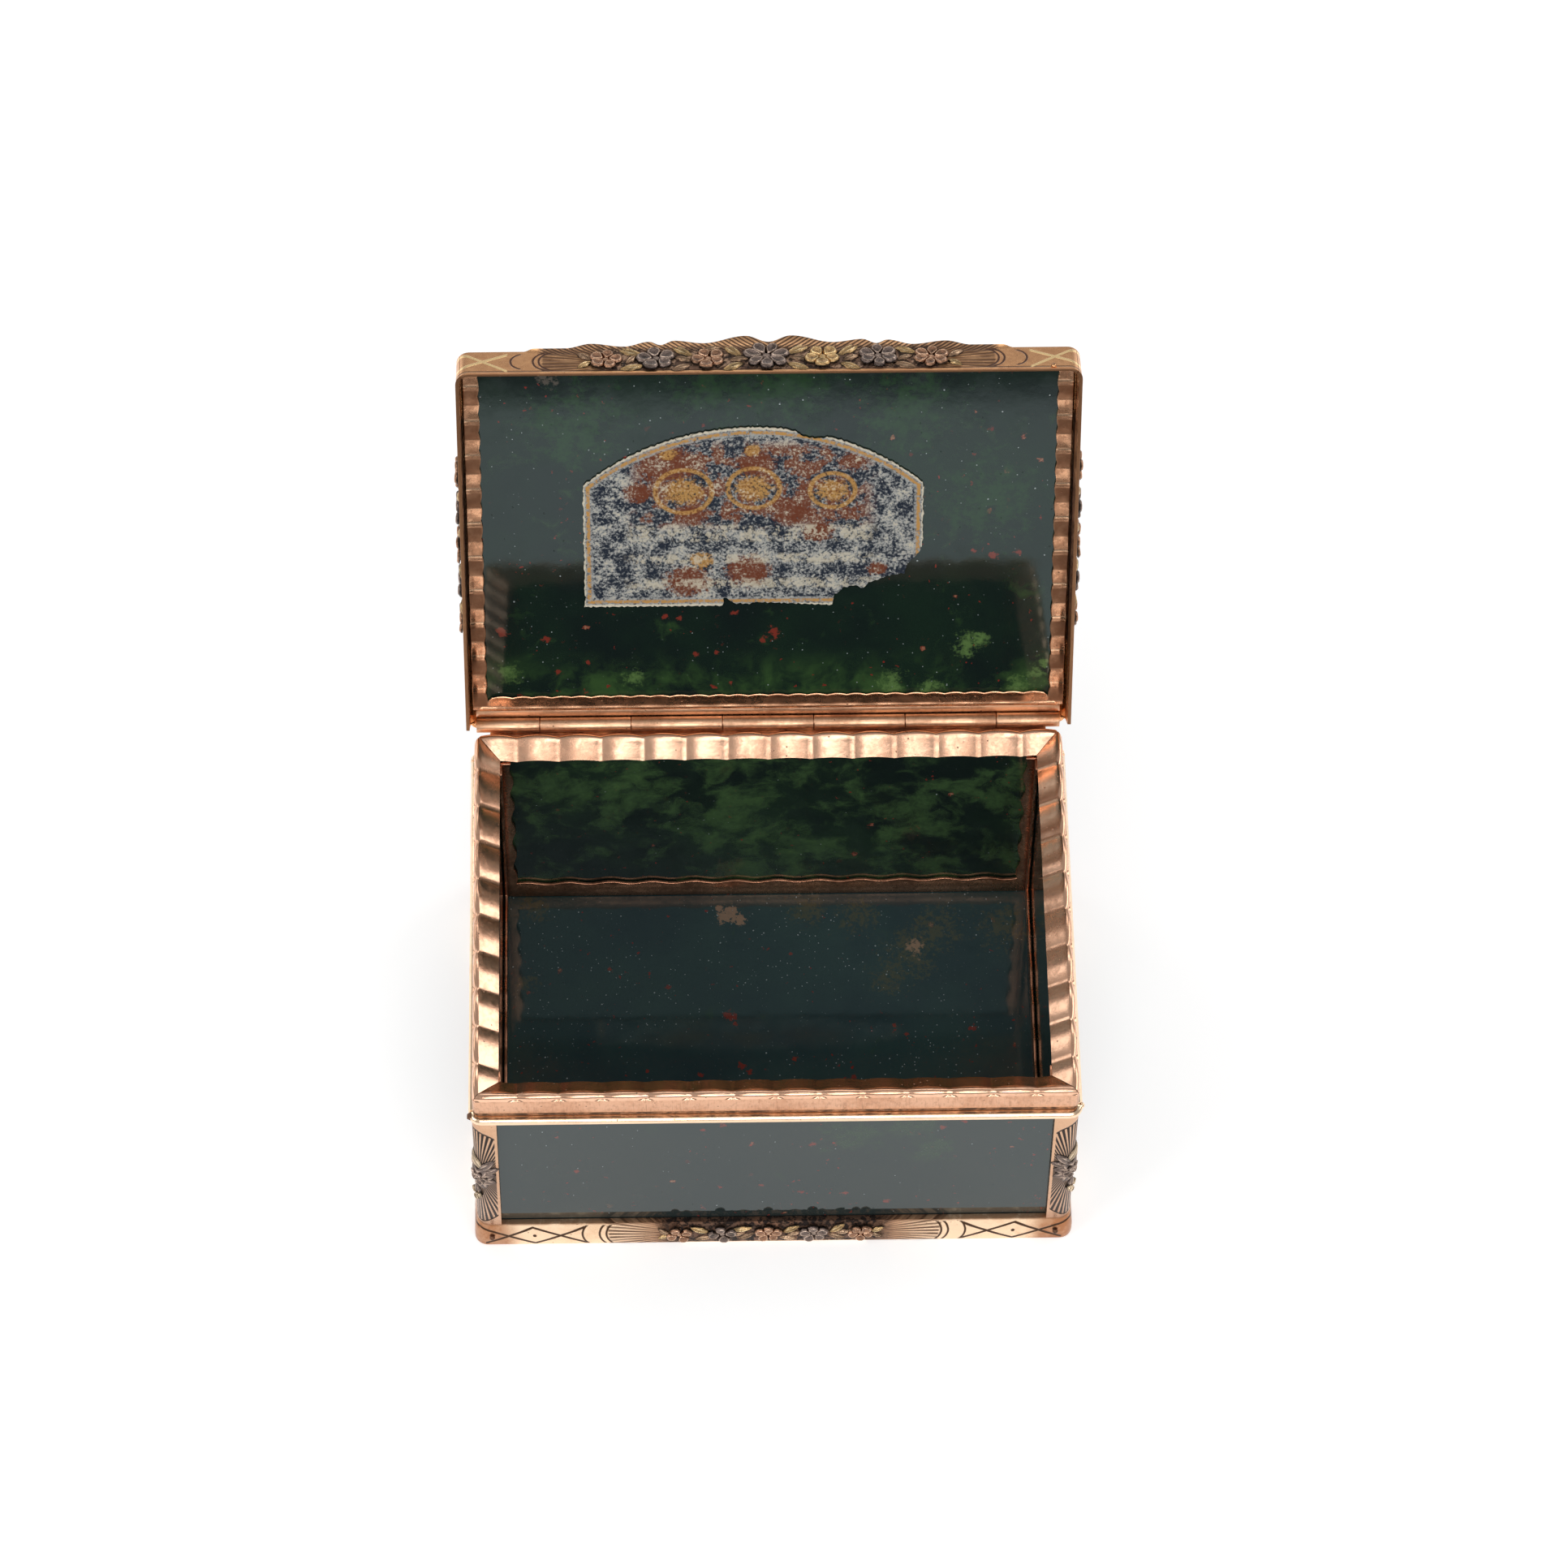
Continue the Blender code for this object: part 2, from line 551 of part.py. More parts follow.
def build_hinge(axis):
    """Seven knuckles on one pin, the case's rail and the lid's leaf."""
    on_case = Matrix.Translation((0.0, AXIS_Y, AXIS_Z))
    on_lid = Matrix.Rotation(math.pi, 4, "X")
    for i, (start, end) in enumerate(knuckle_spans()):
        number = str(i // 2 + 1)
        if i % 2:
            knuckle(start, end, "case_knuckle_" + number, "gold", on_case)
        else:
            knuckle(start, end, "lid_knuckle_" + number, "gold", on_lid, axis)
    pin = bmesh.new()
    bmesh.ops.create_cone(pin, cap_ends=True, segments=PIN_STEPS, radius1=PIN_RADIUS,
                          radius2=PIN_RADIUS, depth=2 * BARREL_END)
    turned = on_case @ Matrix.Rotation(math.pi / 2, 4, "Y")
    bmesh.ops.transform(pin, matrix=turned, verts=pin.verts)
    place(pin, "hinge_pin", "gold", smooth=True)

    lid_edge = AXIS_Y + LID_BACK_REACH * math.cos(OPEN_ANGLE) + LID_BACK_FOOT * math.sin(OPEN_ANGLE)
    rail = (-RAIL_WIDTH / 2, HALF_Y + SEAT_GAP, RAIL_WIDTH / 2, lid_edge - STOP_GAP)
    levels = [(*rail, LEDGE_TOP + SEAT_GAP), (*rail, AXIS_Z - FOOT_REACH - SEAT_GAP)]
    place(block(levels), "case_hinge_rail", "gold")
    leaf = (-BARREL_END, -LEAF_END, BARREL_END, -LID_LEAF_START)
    place(block([(*leaf, STRIP_FOOT), (*leaf, STRIP_TOP)]), "lid_hinge_leaf", "gold", parent=axis)


def crest_rise(x):
    """Rise of the lid's wavy crest at a distance from the middle."""
    x = abs(x)
    for (x0, rise0), (x1, rise1) in zip(CREST, CREST[1:]):
        if x <= x1:
            share = 0.5 - 0.5 * math.cos(math.pi * (x - x0) / (x1 - x0))
            return rise0 + (rise1 - rise0) * share
    return 0.0


def crest_stations():
    """Places along the front face that the crest's shape needs."""
    places = []
    for (x0, _), (x1, _) in zip(CREST, CREST[1:]):
        places += [x0, (2 * x0 + x1) / 3, (x0 + 2 * x1) / 3]
    places.append(CREST[-1][0])
    return [-x for x in reversed(places[1:])] + places


def lid_rim_height(distance):
    """Lower edge of the lid's walls at a distance in front of the hinge axis."""
    rise_start, rise_end = LID_END_CUT, -LID_END_TOP
    share = min(max((rise_start - distance) / (rise_start - rise_end), 0.0), 1.0)
    return LID_RIM + (LID_BACK_FOOT - LID_RIM) * share


def lid_section(distance, crest=0.0):
    """Section of the lid mount as (inset, height) points, at a distance from the axis."""
    rim = lid_rim_height(distance)
    face_top = max(LID_FACE_TOP, rim + LID_BACK_FACE)
    behind = min(max((-distance - LID_END_TOP) / (LID_BACK_REACH - LID_END_TOP), 0.0), 1.0)
    wall = LID_WALL + (LID_BACK_SEAT - LID_WALL) * behind
    shoulder = LID_LIP_TOP - LID_SHOULDER_DROP
    slope = (shoulder - face_top) / LID_SHOULDER
    crest_inset = CREST_THICKNESS - CREST_LEAN * crest
    foot_inset = CREST_THICKNESS + CREST_FOOT
    return [
        (0.0, rim), (0.0, face_top - LID_BACK_FACE / 2), (-CREST_LEAN * crest, face_top + crest),
        (crest_inset, max(face_top + crest, face_top + slope * crest_inset)),
        (foot_inset, face_top + slope * foot_inset), (LID_SHOULDER, shoulder),
        (LID_BORDER, LID_LIP_TOP), (LID_BORDER, LID_LIP_FOOT), (LID_LIP_INSET, LID_LIP_FOOT),
        (wall, max(LID_BEND, rim + SEAT_GAP)), (wall, rim),
    ]


def lid_corner(k, half_x, half_y, centre_y):
    """Sections of the lid mount round its corner k."""
    rings = []
    for station in corner_stations((ARC_STEPS,) * 4)[k * (ARC_STEPS + 1):(k + 1) * (ARC_STEPS + 1)]:
        outer_y = station_point(station, half_x, half_y, CORNER_RADIUS, 0.0)[1] + centre_y
        ring = []
        for inset, height in lid_section(-outer_y):
            x, y = station_point(station, half_x, half_y, CORNER_RADIUS, inset)
            ring.append((x, y + centre_y, height))
        rings.append(ring)
    return rings


def lid_mount_ring(half_x, half_y, centre_y):
    """Lid mount as one closed frame: walls, sloping border and, in front, the wavy crest."""
    sides = []
    for sign in (1, -1):
        section = lid_section(LID_END_CUT)
        sides.append([(sign * (half_x - inset), -LID_END_CUT, height) for inset, height in section])
    front = []
    for x in crest_stations():
        section = lid_section(LID_REACH, crest_rise(x))
        front.append([(x, inset - LID_REACH, height) for inset, height in section])
    corner = [lid_corner(k, half_x, half_y, centre_y) for k in range(4)]
    rings = corner[0] + [sides[0]] + corner[1] + corner[2] + [sides[1]] + corner[3] + front
    return loft(rings, closed=True)


def build_lid_mount(axis):
    """Four mitred strips of the lid mount."""
    half_y = (LID_REACH + LID_BACK_REACH) / 2
    centre_y = LID_BACK_REACH - half_y
    for side in ("front", "right", "back", "left"):
        bm = lid_mount_ring(LID_HALF_X, half_y, centre_y)
        mitre(bm, LID_HALF_X, half_y, side, centre_y)
        place(bm, "lid_mount_" + side, "bright_gold", parent=axis, smooth=True)


def build_lid_stone(axis):
    """Lid panel, bevelled to fit under the lid mount's border."""
    slope = (LID_LIP_FOOT - LID_BEND) / (LID_LIP_INSET - LID_WALL)
    fit = SEAT_GAP * math.hypot(1.0, 1.0 / slope)
    edge = LID_STONE_INSET
    bevel_foot = LID_BEND + (edge - LID_WALL - fit) * slope
    top_edge = LID_WALL + fit + (LID_STONE_TOP - LID_BEND) / slope
    rear = -(LID_LEAF_START + SEAT_GAP)
    levels = []
    for inset, height in ((edge, LID_STONE_FOOT), (edge, bevel_foot), (top_edge, LID_STONE_TOP)):
        levels.append((inset - LID_HALF_X, inset - LID_REACH, LID_HALF_X - inset, rear, height))
    place(block(levels), "lid_stone", "bloodstone", parent=axis)


def build_lid_retainers(axis):
    """Four mitred strips with wavy inner edges that hold the lid panel."""
    slack = SEAT_GAP * math.sqrt(0.5)
    x = LID_HALF_X - LID_WALL - SEAT_GAP
    inner_x = x - LID_RETAINER_SIDE
    front = -(LID_REACH - LID_WALL - SEAT_GAP)
    inner_front = front + LID_RETAINER_FRONT
    back = -(LEAF_END + SEAT_GAP)
    inner_back = back - LID_RETAINER_BACK
    cut = CORNER_RADIUS - LID_WALL - 2 * SEAT_GAP      # bevel that clears the rounded walls
    share = cut / (LID_RETAINER_SIDE + LID_RETAINER_FRONT)
    cut_x = x - LID_RETAINER_SIDE * share
    cut_y = front + LID_RETAINER_FRONT * share

    half = [(x - cut, front), (cut_x - slack, cut_y)]
    outline = [(-across, along) for across, along in reversed(half)] + half
    outline += wavy(inner_x - slack, -inner_x + slack, inner_front, WAVE_HEIGHT, WAVE_PITCH)
    place(prism(outline, STRIP_FOOT, STRIP_TOP), "lid_retainer_front", "dark_gold", parent=axis)
    outline = [(-x + slack, back), (x - slack, back)]
    outline += wavy(inner_x - slack, -inner_x + slack, inner_back, WAVE_HEIGHT, WAVE_PITCH)
    place(prism(outline, STRIP_FOOT, STRIP_TOP), "lid_retainer_back", "dark_gold", parent=axis)
    edge = wavy(inner_front + slack, inner_back - slack, inner_x, WAVE_HEIGHT, WAVE_PITCH)
    side = [(x, back - slack), (x, front + cut), (cut_x, cut_y + slack)]
    side += [(across, along) for along, across in edge]
    for name, sign in (("left", -1), ("right", 1)):
        outline = [(sign * across, along) for across, along in side]
        place(prism(outline, STRIP_FOOT, STRIP_TOP), "lid_retainer_" + name, "dark_gold", parent=axis)


def build_label(axis):
    """Worn paper label with an arched edge and a torn corner."""
    half = LABEL_WIDTH / 2
    low = -LABEL_LOW_EDGE
    outline = [(LABEL_CENTRE_X - half, low)]
    for inward, rise in LABEL_TEAR:
        outline.append((LABEL_CENTRE_X + half - inward, low - rise))
    for i in range(ARCH_STEPS + 1):
        angle = math.pi * i / ARCH_STEPS
        outline.append((LABEL_CENTRE_X + half * math.cos(angle),
                        low - LABEL_SIDE_HEIGHT - LABEL_ARCH_RISE * math.sin(angle)))
    top = LID_STONE_FOOT - SEAT_GAP
    place(prism(outline, top - LABEL_THICKNESS, top), "paper_label", "paper", parent=axis)


def facing(turn, distance, height):
    """Matrix from a relief's plane to a face whose outward side is turned from the front."""
    upright = Matrix.Rotation(math.pi / 2, 4, "X")
    return Matrix.Rotation(turn, 4, "Z") @ Matrix.Translation((0.0, -distance, height)) @ upright


def add_relief(bm, outline, centre, matrix, taper):
    """Add a low solid over an outline, drawn in towards its centre at the top."""
    rows = []
    for share, height in ((1.0, 0.0), (taper, RELIEF)):
        row = []
        for u, v in outline:
            point = Vector((centre[0] + u * share, centre[1] + v * share, height))
            row.append(bm.verts.new(matrix @ point))
        rows.append(row)
    count = len(outline)
    for k in range(count):
        n = (k + 1) % count
        bm.faces.new((rows[0][k], rows[0][n], rows[1][n], rows[1][k]))
    bm.faces.new(list(reversed(rows[0])))
    bm.faces.new(rows[1])


def flower(radius):
    """Outline of an open flower."""
    points = []
    for k in range(PETALS):
        for step, share in PETAL_CORNERS:
            angle = 2 * math.pi * (k + step) / PETALS
            points.append((radius * share * math.cos(angle), radius * share * math.sin(angle)))
    return points


def leaf(half_run, half_rise):
    """Outline of a pointed leaf along a slope."""
    tilt = math.atan2(half_rise, half_run)
    half_length = math.hypot(half_run, half_rise)
    cosine, sine = math.cos(tilt), math.sin(tilt)
    corners_in = ((half_length, 0.0), (0.0, LEAF_HALF_WIDTH), (-half_length, 0.0),
                  (0.0, -LEAF_HALF_WIDTH))
    return [(u * cosine - v * sine, u * sine + v * cosine) for u, v in corners_in]


def add_spray(bm, flowers, rise, matrix):
    """Row of flowers with a pair of leaves in each space between them."""
    for along, radius in flowers:
        add_relief(bm, flower(radius), (along, 0.0), matrix, FLOWER_TAPER)
    for (left, left_radius), (right, right_radius) in zip(flowers, flowers[1:]):
        low = left + left_radius + SEAT_GAP
        high = right - right_radius - SEAT_GAP
        shape = leaf((high - low) / 2, rise / 2)
        for side in (-1, 1):
            add_relief(bm, shape, ((low + high) / 2, side * rise / 2), matrix, LEAF_TAPER)


def stem(start, end, upright=False):
    """Thin bar that joins the flowers and leaves of a spray."""
    half = STEM_HALF_WIDTH
    rectangle = (-half, start, half, end) if upright else (start, -half, end, half)
    return block([(*rectangle, z) for z in (STEM_FOOT, STEM_TOP)])


def place_spray(relief, bar, matrix, name, parent=None):
    """Join a spray's motifs and its stem into one solid."""
    bmesh.ops.transform(bar, matrix=matrix, verts=bar.verts)
    spray = place(bar, name, "dark_gold", parent=parent)
    motifs = place(relief, name + "_motifs", "dark_gold", parent=parent)
    union = spray.modifiers.new("motifs", "BOOLEAN")
    union.operation = "UNION"
    union.solver = "EXACT"
    union.object = motifs
    bpy.context.view_layer.update()
    joined = spray.evaluated_get(bpy.context.evaluated_depsgraph_get())
    spray.data = bpy.data.meshes.new_from_object(joined)
    spray.modifiers.clear()
    bpy.data.objects.remove(motifs, do_unlink=True)


def build_base_sprays():
    """Sprays in the middle of the base mount's four faces."""
    for k, side in enumerate(("front", "right", "back", "left")):
        distance = (BASE_Y, BASE_X)[k % 2] + SEAT_GAP
        bm = bmesh.new()
        matrix = facing(k * math.pi / 2, distance, BASE_SPRAY_HEIGHT)
        add_spray(bm, BASE_FLOWERS, BASE_LEAF_RISE, matrix)
        bar = stem(BASE_FLOWERS[0][0], BASE_FLOWERS[-1][0])
        place_spray(bm, bar, matrix, "base_spray_" + side)


def build_pilaster_flowers():
    """Flower with a leaf above and below on each pilaster's rounded corner."""
    middle = (BASE_HEIGHT + LEDGE_FOOT) / 2
    centre_x = HALF_X + PILASTER_PROUD - CORNER_RADIUS
    centre_y = HALF_Y + PILASTER_PROUD - CORNER_RADIUS
    for corner, sx, sy in corners():
        turn = math.atan2(sx, -sy)
        bm = bmesh.new()
        at_corner = Matrix.Translation((sx * centre_x, sy * centre_y, 0.0))
        matrix = at_corner @ facing(turn, CORNER_RADIUS + SEAT_GAP, middle)
        add_relief(bm, flower(PILASTER_FLOWER), (0.0, 0.0), matrix, FLOWER_TAPER)
        leaf_place = PILASTER_LEAF_START + PILASTER_LEAF_LENGTH / 2
        for side in (-1, 1):
            shape = leaf(side * STEM_HALF_WIDTH, PILASTER_LEAF_LENGTH / 2)
            add_relief(bm, shape, (0.0, side * leaf_place), matrix, LEAF_TAPER)
        bar = stem(-leaf_place, leaf_place, upright=True)
        place_spray(bm, bar, matrix, "pilaster_flower_" + corner)


def build_corner_pins():
    """Heads of the small pins near the corners of the base mount's front and back."""
    for corner, sx, sy in corners():
        bm = bmesh.new()
        matrix = facing(0.0 if sy < 0 else math.pi, BASE_Y + SEAT_GAP, BASE_SPRAY_HEIGHT)
        local_x = -sx * sy * (BASE_X - CORNER_PIN_INSET)
        centre = Matrix.Translation((local_x, 0.0, CORNER_PIN_HEIGHT / 2))
        bmesh.ops.create_cone(bm, cap_ends=True, segments=PIN_HEAD_STEPS, radius1=CORNER_PIN_RADIUS,
                              radius2=CORNER_PIN_RADIUS / 2, depth=CORNER_PIN_HEIGHT,
                              matrix=matrix @ centre)
        place(bm, "corner_pin_" + corner, "dark_gold")


def build_lid_sprays(axis):
    """Sprays on the front and side faces of the lid."""
    middle = LID_RIM + LID_FACE / 2
    front = bmesh.new()
    matrix = facing(0.0, LID_REACH + SEAT_GAP, middle)
    add_spray(front, LID_FRONT_FLOWERS, LID_LEAF_RISE, matrix)
    bar = stem(LID_FRONT_FLOWERS[0][0], LID_FRONT_FLOWERS[-1][0])
    place_spray(front, bar, matrix, "lid_spray_front", axis)
    along = Matrix.Translation((0.0, -LID_SPRAY_CENTRE, 0.0))
    for side, turn in (("right", math.pi / 2), ("left", -math.pi / 2)):
        bm = bmesh.new()
        matrix = along @ facing(turn, LID_HALF_X + SEAT_GAP, middle)
        add_spray(bm, LID_SIDE_FLOWERS, LID_LEAF_RISE, matrix)
        bar = stem(LID_SIDE_FLOWERS[0][0], LID_SIDE_FLOWERS[-1][0])
        place_spray(bm, bar, matrix, "lid_spray_" + side, axis)


def main():
    """Build the case, the hinge and the lid."""
    clear_scene()
    axis = lid_axis()
    build_base()
    build_walls()
    build_wall_retainers()
    build_pilasters()
    build_band()
    build_mouth_flange()
    build_ledge()
    build_hinge(axis)
    build_lid_mount(axis)
    build_lid_stone(axis)
    build_lid_retainers(axis)
    build_label(axis)
    build_base_sprays()
    build_pilaster_flowers()
    build_corner_pins()
    build_lid_sprays(axis)


main()
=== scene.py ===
"""Looks of a hardstone snuff box with a hinged lid, in a cage of chased gold mounts.

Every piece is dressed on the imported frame. Sizes are in millimetres unless a name says
otherwise, and the bench turns them into metres. The case is described in its own axes: X to
the right, Y to the back, Z up. The lid is described as if it were closed, about the hinge
axis: X to the right, Y to the back, Z away from the case; the bench then swings it open.
"""
import json
import logging
import math
from collections.abc import Callable, Iterator
from contextlib import contextmanager
from dataclasses import dataclass, field
from enum import Enum
from functools import cache
from typing import Protocol

import bmesh
import bpy
from mathutils import Matrix, Vector

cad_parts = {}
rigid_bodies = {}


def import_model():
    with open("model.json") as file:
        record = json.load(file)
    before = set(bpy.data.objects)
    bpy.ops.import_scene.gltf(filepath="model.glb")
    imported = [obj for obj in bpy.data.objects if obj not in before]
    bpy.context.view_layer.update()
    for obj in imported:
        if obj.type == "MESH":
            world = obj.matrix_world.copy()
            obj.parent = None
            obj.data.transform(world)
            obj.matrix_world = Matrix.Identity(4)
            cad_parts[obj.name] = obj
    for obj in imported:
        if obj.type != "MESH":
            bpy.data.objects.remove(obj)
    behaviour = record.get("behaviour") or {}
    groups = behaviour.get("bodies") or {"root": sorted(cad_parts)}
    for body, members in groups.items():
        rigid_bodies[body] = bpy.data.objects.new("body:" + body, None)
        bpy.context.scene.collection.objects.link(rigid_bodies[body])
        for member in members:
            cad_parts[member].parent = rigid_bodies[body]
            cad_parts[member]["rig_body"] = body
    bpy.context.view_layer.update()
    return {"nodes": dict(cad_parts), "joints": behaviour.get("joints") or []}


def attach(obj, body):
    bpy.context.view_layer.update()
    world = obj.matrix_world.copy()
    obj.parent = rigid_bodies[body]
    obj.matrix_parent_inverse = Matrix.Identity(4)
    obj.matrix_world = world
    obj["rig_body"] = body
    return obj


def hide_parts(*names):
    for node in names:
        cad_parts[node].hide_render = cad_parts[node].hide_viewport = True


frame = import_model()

log = logging.getLogger("snuff_box")

MM = 0.001
HINGE = Vector(frame["joints"][0]["pos_m"])
OPEN_ANGLE = math.radians(frame["joints"][0]["range_deg"][1])
# The crown attribute lays painted shade at the foot of the relief and painted highlights on its rims.
CROWN = "crown"  # attribute of the chased relief: 0 at the foot, 1 on the bright rims
SMOOTH_ANGLE = math.radians(35.0)

Colour = tuple[float, float, float]
Point = tuple[float, float, float]
Section = list[tuple[float, float]]


class Body(Enum):
    """Moving bodies of the box."""

    CASE = "case"
    LID = "lid"

    @property
    def place(self) -> Matrix:
        """Matrix from the body's own axes to the open box, in metres."""
        if self is Body.CASE:
            return Matrix.Identity(4)
        return Matrix.Translation(HINGE) @ Matrix.Rotation(-OPEN_ANGLE, 4, "X")

    def extent(self, node: str) -> tuple[Vector, Vector]:
        """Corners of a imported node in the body's own axes.

        Args:
            node: name of the node.

        Returns:
            Lowest and highest corner, in millimetres.
        """
        back = self.place.inverted()
        points = [back @ vertex.co / MM for vertex in frame["nodes"][node].data.vertices]
        low = Vector([min(point[k] for point in points) for k in range(3)])
        high = Vector([max(point[k] for point in points) for k in range(3)])
        return low, high


class Side(Enum):
    """Four sides of the box, with the turn that brings the front to each."""

    FRONT = 0
    RIGHT = 1
    BACK = 2
    LEFT = 3

    @property
    def label(self) -> str:
        """Word used in piece and node names."""
        return self.name.lower()

    @property
    def turn(self) -> float:
        """Angle about Z from the front, in radians."""
        return self.value * math.pi / 2

    @property
    def is_long(self) -> bool:
        """Whether the side runs along X."""
        return self in (Side.FRONT, Side.BACK)


CORNERS = (("front_left", -1, -1), ("front_right", 1, -1), ("back_left", -1, 1), ("back_right", 1, 1))


# Shader maths


@dataclass(frozen=True)
class Wire:
    """Number that a node puts out, used in shader maths as a Python value."""

    sheet: "NodeSheet"
    socket: bpy.types.NodeSocket

    def __add__(self, other: "Wire | float") -> "Wire":
        """Sum."""
        return self.sheet.math("ADD", self, other)

    __radd__ = __add__

    def __sub__(self, other: "Wire | float") -> "Wire":
        """Difference."""
        return self.sheet.math("SUBTRACT", self, other)

    def __rsub__(self, other: float) -> "Wire":
        """Difference from a number."""
        return self.sheet.math("SUBTRACT", other, self)

    def __mul__(self, other: "Wire | float") -> "Wire":
        """Product."""
        return self.sheet.math("MULTIPLY", self, other)

    __rmul__ = __mul__

    def __truediv__(self, other: "Wire | float") -> "Wire":
        """Quotient."""
        return self.sheet.math("DIVIDE", self, other)

    def __abs__(self) -> "Wire":
        """Size without its sign."""
        return self.sheet.math("ABSOLUTE", self)

    def least(self, other: "Wire | float") -> "Wire":
        """Smaller of two values."""
        return self.sheet.math("MINIMUM", self, other)

    def most(self, other: "Wire | float") -> "Wire":
        """Larger of two values."""
        return self.sheet.math("MAXIMUM", self, other)

    def wave(self) -> "Wire":
        """Sine of the value in turns, from -1 to 1."""
        return self.sheet.math("SINE", self * (2 * math.pi))

    def part(self) -> "Wire":
        """Fraction after the whole number."""
        return self.sheet.math("FRACT", self)

    def rise(self, low: float, high: float) -> "Wire":
        """Smooth step from 0 at low to 1 at high; falls when low is above high."""
        if low > high:
            return 1 - self.rise(high, low)
        return self.sheet.add("ShaderNodeMapRange", {"interpolation_type": "SMOOTHSTEP"},
                              {"Value": self, "From Min": low, "From Max": high})

    def within(self, low: float, high: float, soft: float) -> "Wire":
        """Mask of 1 between two values with soft edges."""
        return self.rise(low - soft, low + soft) * self.rise(high + soft, high - soft)

    def line(self, half_width: float, soft: float) -> "Wire":
        """Mask of 1 where the value, a distance, is under half a line's width."""
        return abs(self).rise(half_width + soft, half_width - soft)


class NodeSheet:
    """Node tree of one material, with the few moves that the finishes need."""

    def __init__(self, name: str) -> None:
        """Start a material.

        Args:
            name: name of the material.
        """
        self.material = bpy.data.materials.new(name)
        self.material.use_nodes = True
        self.tree = self.material.node_tree
        self.shader = self.tree.nodes["Principled BSDF"]

    def add(self, kind: str, settings: dict | None = None, sockets: dict | None = None,
            out: str | int = 0) -> Wire:
        """Add a node.

        Args:
            kind: type of the node.
            settings: properties, set first.
            sockets: values or wires of the inputs, by name or number.
            out: output to return, by name or number.

        Returns:
            The chosen output.
        """
        node = self.tree.nodes.new(kind)
        for name, value in (settings or {}).items():
            setattr(node, name, value)
        for name, value in (sockets or {}).items():
            self.feed(node.inputs[name], value)
        return Wire(self, node.outputs[out])

    def feed(self, socket: bpy.types.NodeSocket, value: "Wire | float | tuple") -> None:
        """Link a wire to a socket, or set the socket's value."""
        if isinstance(value, Wire):
            self.tree.links.new(value.socket, socket)
        elif isinstance(value, tuple) and socket.type == "RGBA":
            socket.default_value = (*value, 1.0)
        else:
            socket.default_value = value

    def math(self, operation: str, *values: "Wire | float") -> Wire:
        """Math node on one or two values."""
        return self.add("ShaderNodeMath", {"operation": operation}, dict(enumerate(values)))

    def vector(self, operation: str, *values: "Wire | Point") -> Wire:
        """Vector Math node on one or two vectors."""
        out = "Value" if operation in ("LENGTH", "DISTANCE") else 0
        return self.add("ShaderNodeVectorMath", {"operation": operation},
                        dict(enumerate(values)), out)

    def blend(self, share: "Wire | float", first: "Wire | Colour", second: "Wire | Colour") -> Wire:
        """Mix two colours by a share."""
        return self.add("ShaderNodeMix", {"data_type": "RGBA"}, {0: share, 6: first, 7: second}, 2)

    def place(self, body: Body) -> Wire:
        """Place on the piece in its body's own axes, in millimetres."""
        seen = self.add("ShaderNodeTexCoord", out="Object")
        back = body.place.inverted()
        sockets = {
            "Vector": seen,
            "Location": back.to_translation() / MM,
            "Rotation": back.to_euler(),
            "Scale": (1 / MM, 1 / MM, 1 / MM),
        }
        return self.add("ShaderNodeMapping", sockets=sockets)

    def split(self, vector: Wire) -> tuple[Wire, Wire, Wire]:
        """Three parts of a vector."""
        node = self.tree.nodes.new("ShaderNodeSeparateXYZ")
        self.feed(node.inputs[0], vector)
        return tuple(Wire(self, node.outputs[k]) for k in range(3))

    def join(self, x: "Wire | float", y: "Wire | float", z: "Wire | float") -> Wire:
        """Vector of three parts."""
        return self.add("ShaderNodeCombineXYZ", sockets={0: x, 1: y, 2: z})

    def noise(self, at: Wire, scale: float, detail: float = 3.0, roughness: float = 0.55,
              stretch: Point | None = None, out: str = "Fac") -> Wire:
        """Soft noise with features 1/scale millimetres wide, drawn out by a stretch."""
        spot = self.vector("MULTIPLY", at, stretch) if stretch else at
        sockets = {"Vector": spot, "Scale": scale, "Detail": detail, "Roughness": roughness}
        return self.add("ShaderNodeTexNoise", sockets=sockets, out=out)

    def specks(self, at: Wire, scale: float, size: float, share: float) -> Wire:
        """Mask of small scattered specks.

        Args:
            at: place on the piece.
            scale: cells per millimetre.
            size: radius of a speck as a share of its cell.
            share: share of the cells that hold a speck.

        Returns:
            Mask of 1 on the specks.
        """
        node = self.tree.nodes.new("ShaderNodeTexVoronoi")
        self.feed(node.inputs["Vector"], at)
        self.feed(node.inputs["Scale"], scale)
        chance = self.split(Wire(self, node.outputs["Color"]))[0]
        near = Wire(self, node.outputs["Distance"]).rise(size, size * 0.55)
        return near * chance.rise(1 - share - 0.01, 1 - share + 0.01)

    def dress(self, colour: Wire, roughness: "Wire | float", height: Wire | None = None,
              depth: float = 0.1, **constants: float) -> None:
        """Wire the shader.

        Args:
            colour: base colour.
            roughness: roughness.
            height: height map for the bump, if any.
            depth: millimetres that a height of 1 stands for.
            constants: values of further sockets, spaces written as underscores.
        """
        self.feed(self.shader.inputs["Base Color"], colour)
        self.feed(self.shader.inputs["Roughness"], roughness)
        for name, value in constants.items():
            self.feed(self.shader.inputs[name.replace("_", " ")], value)
        if height is not None:
            sockets = {"Height": height, "Distance": depth * MM, "Strength": 1.0}
            self.feed(self.shader.inputs["Normal"], self.add("ShaderNodeBump", sockets=sockets))


# Finishes


class Finish(Protocol):
    """Anything that can make a material."""

    def make(self) -> bpy.types.Material:
        """Build the material."""


@cache
def material_of(finish: Finish) -> bpy.types.Material:
    """Material of a finish, made the first time it is asked for."""
    return finish.make()


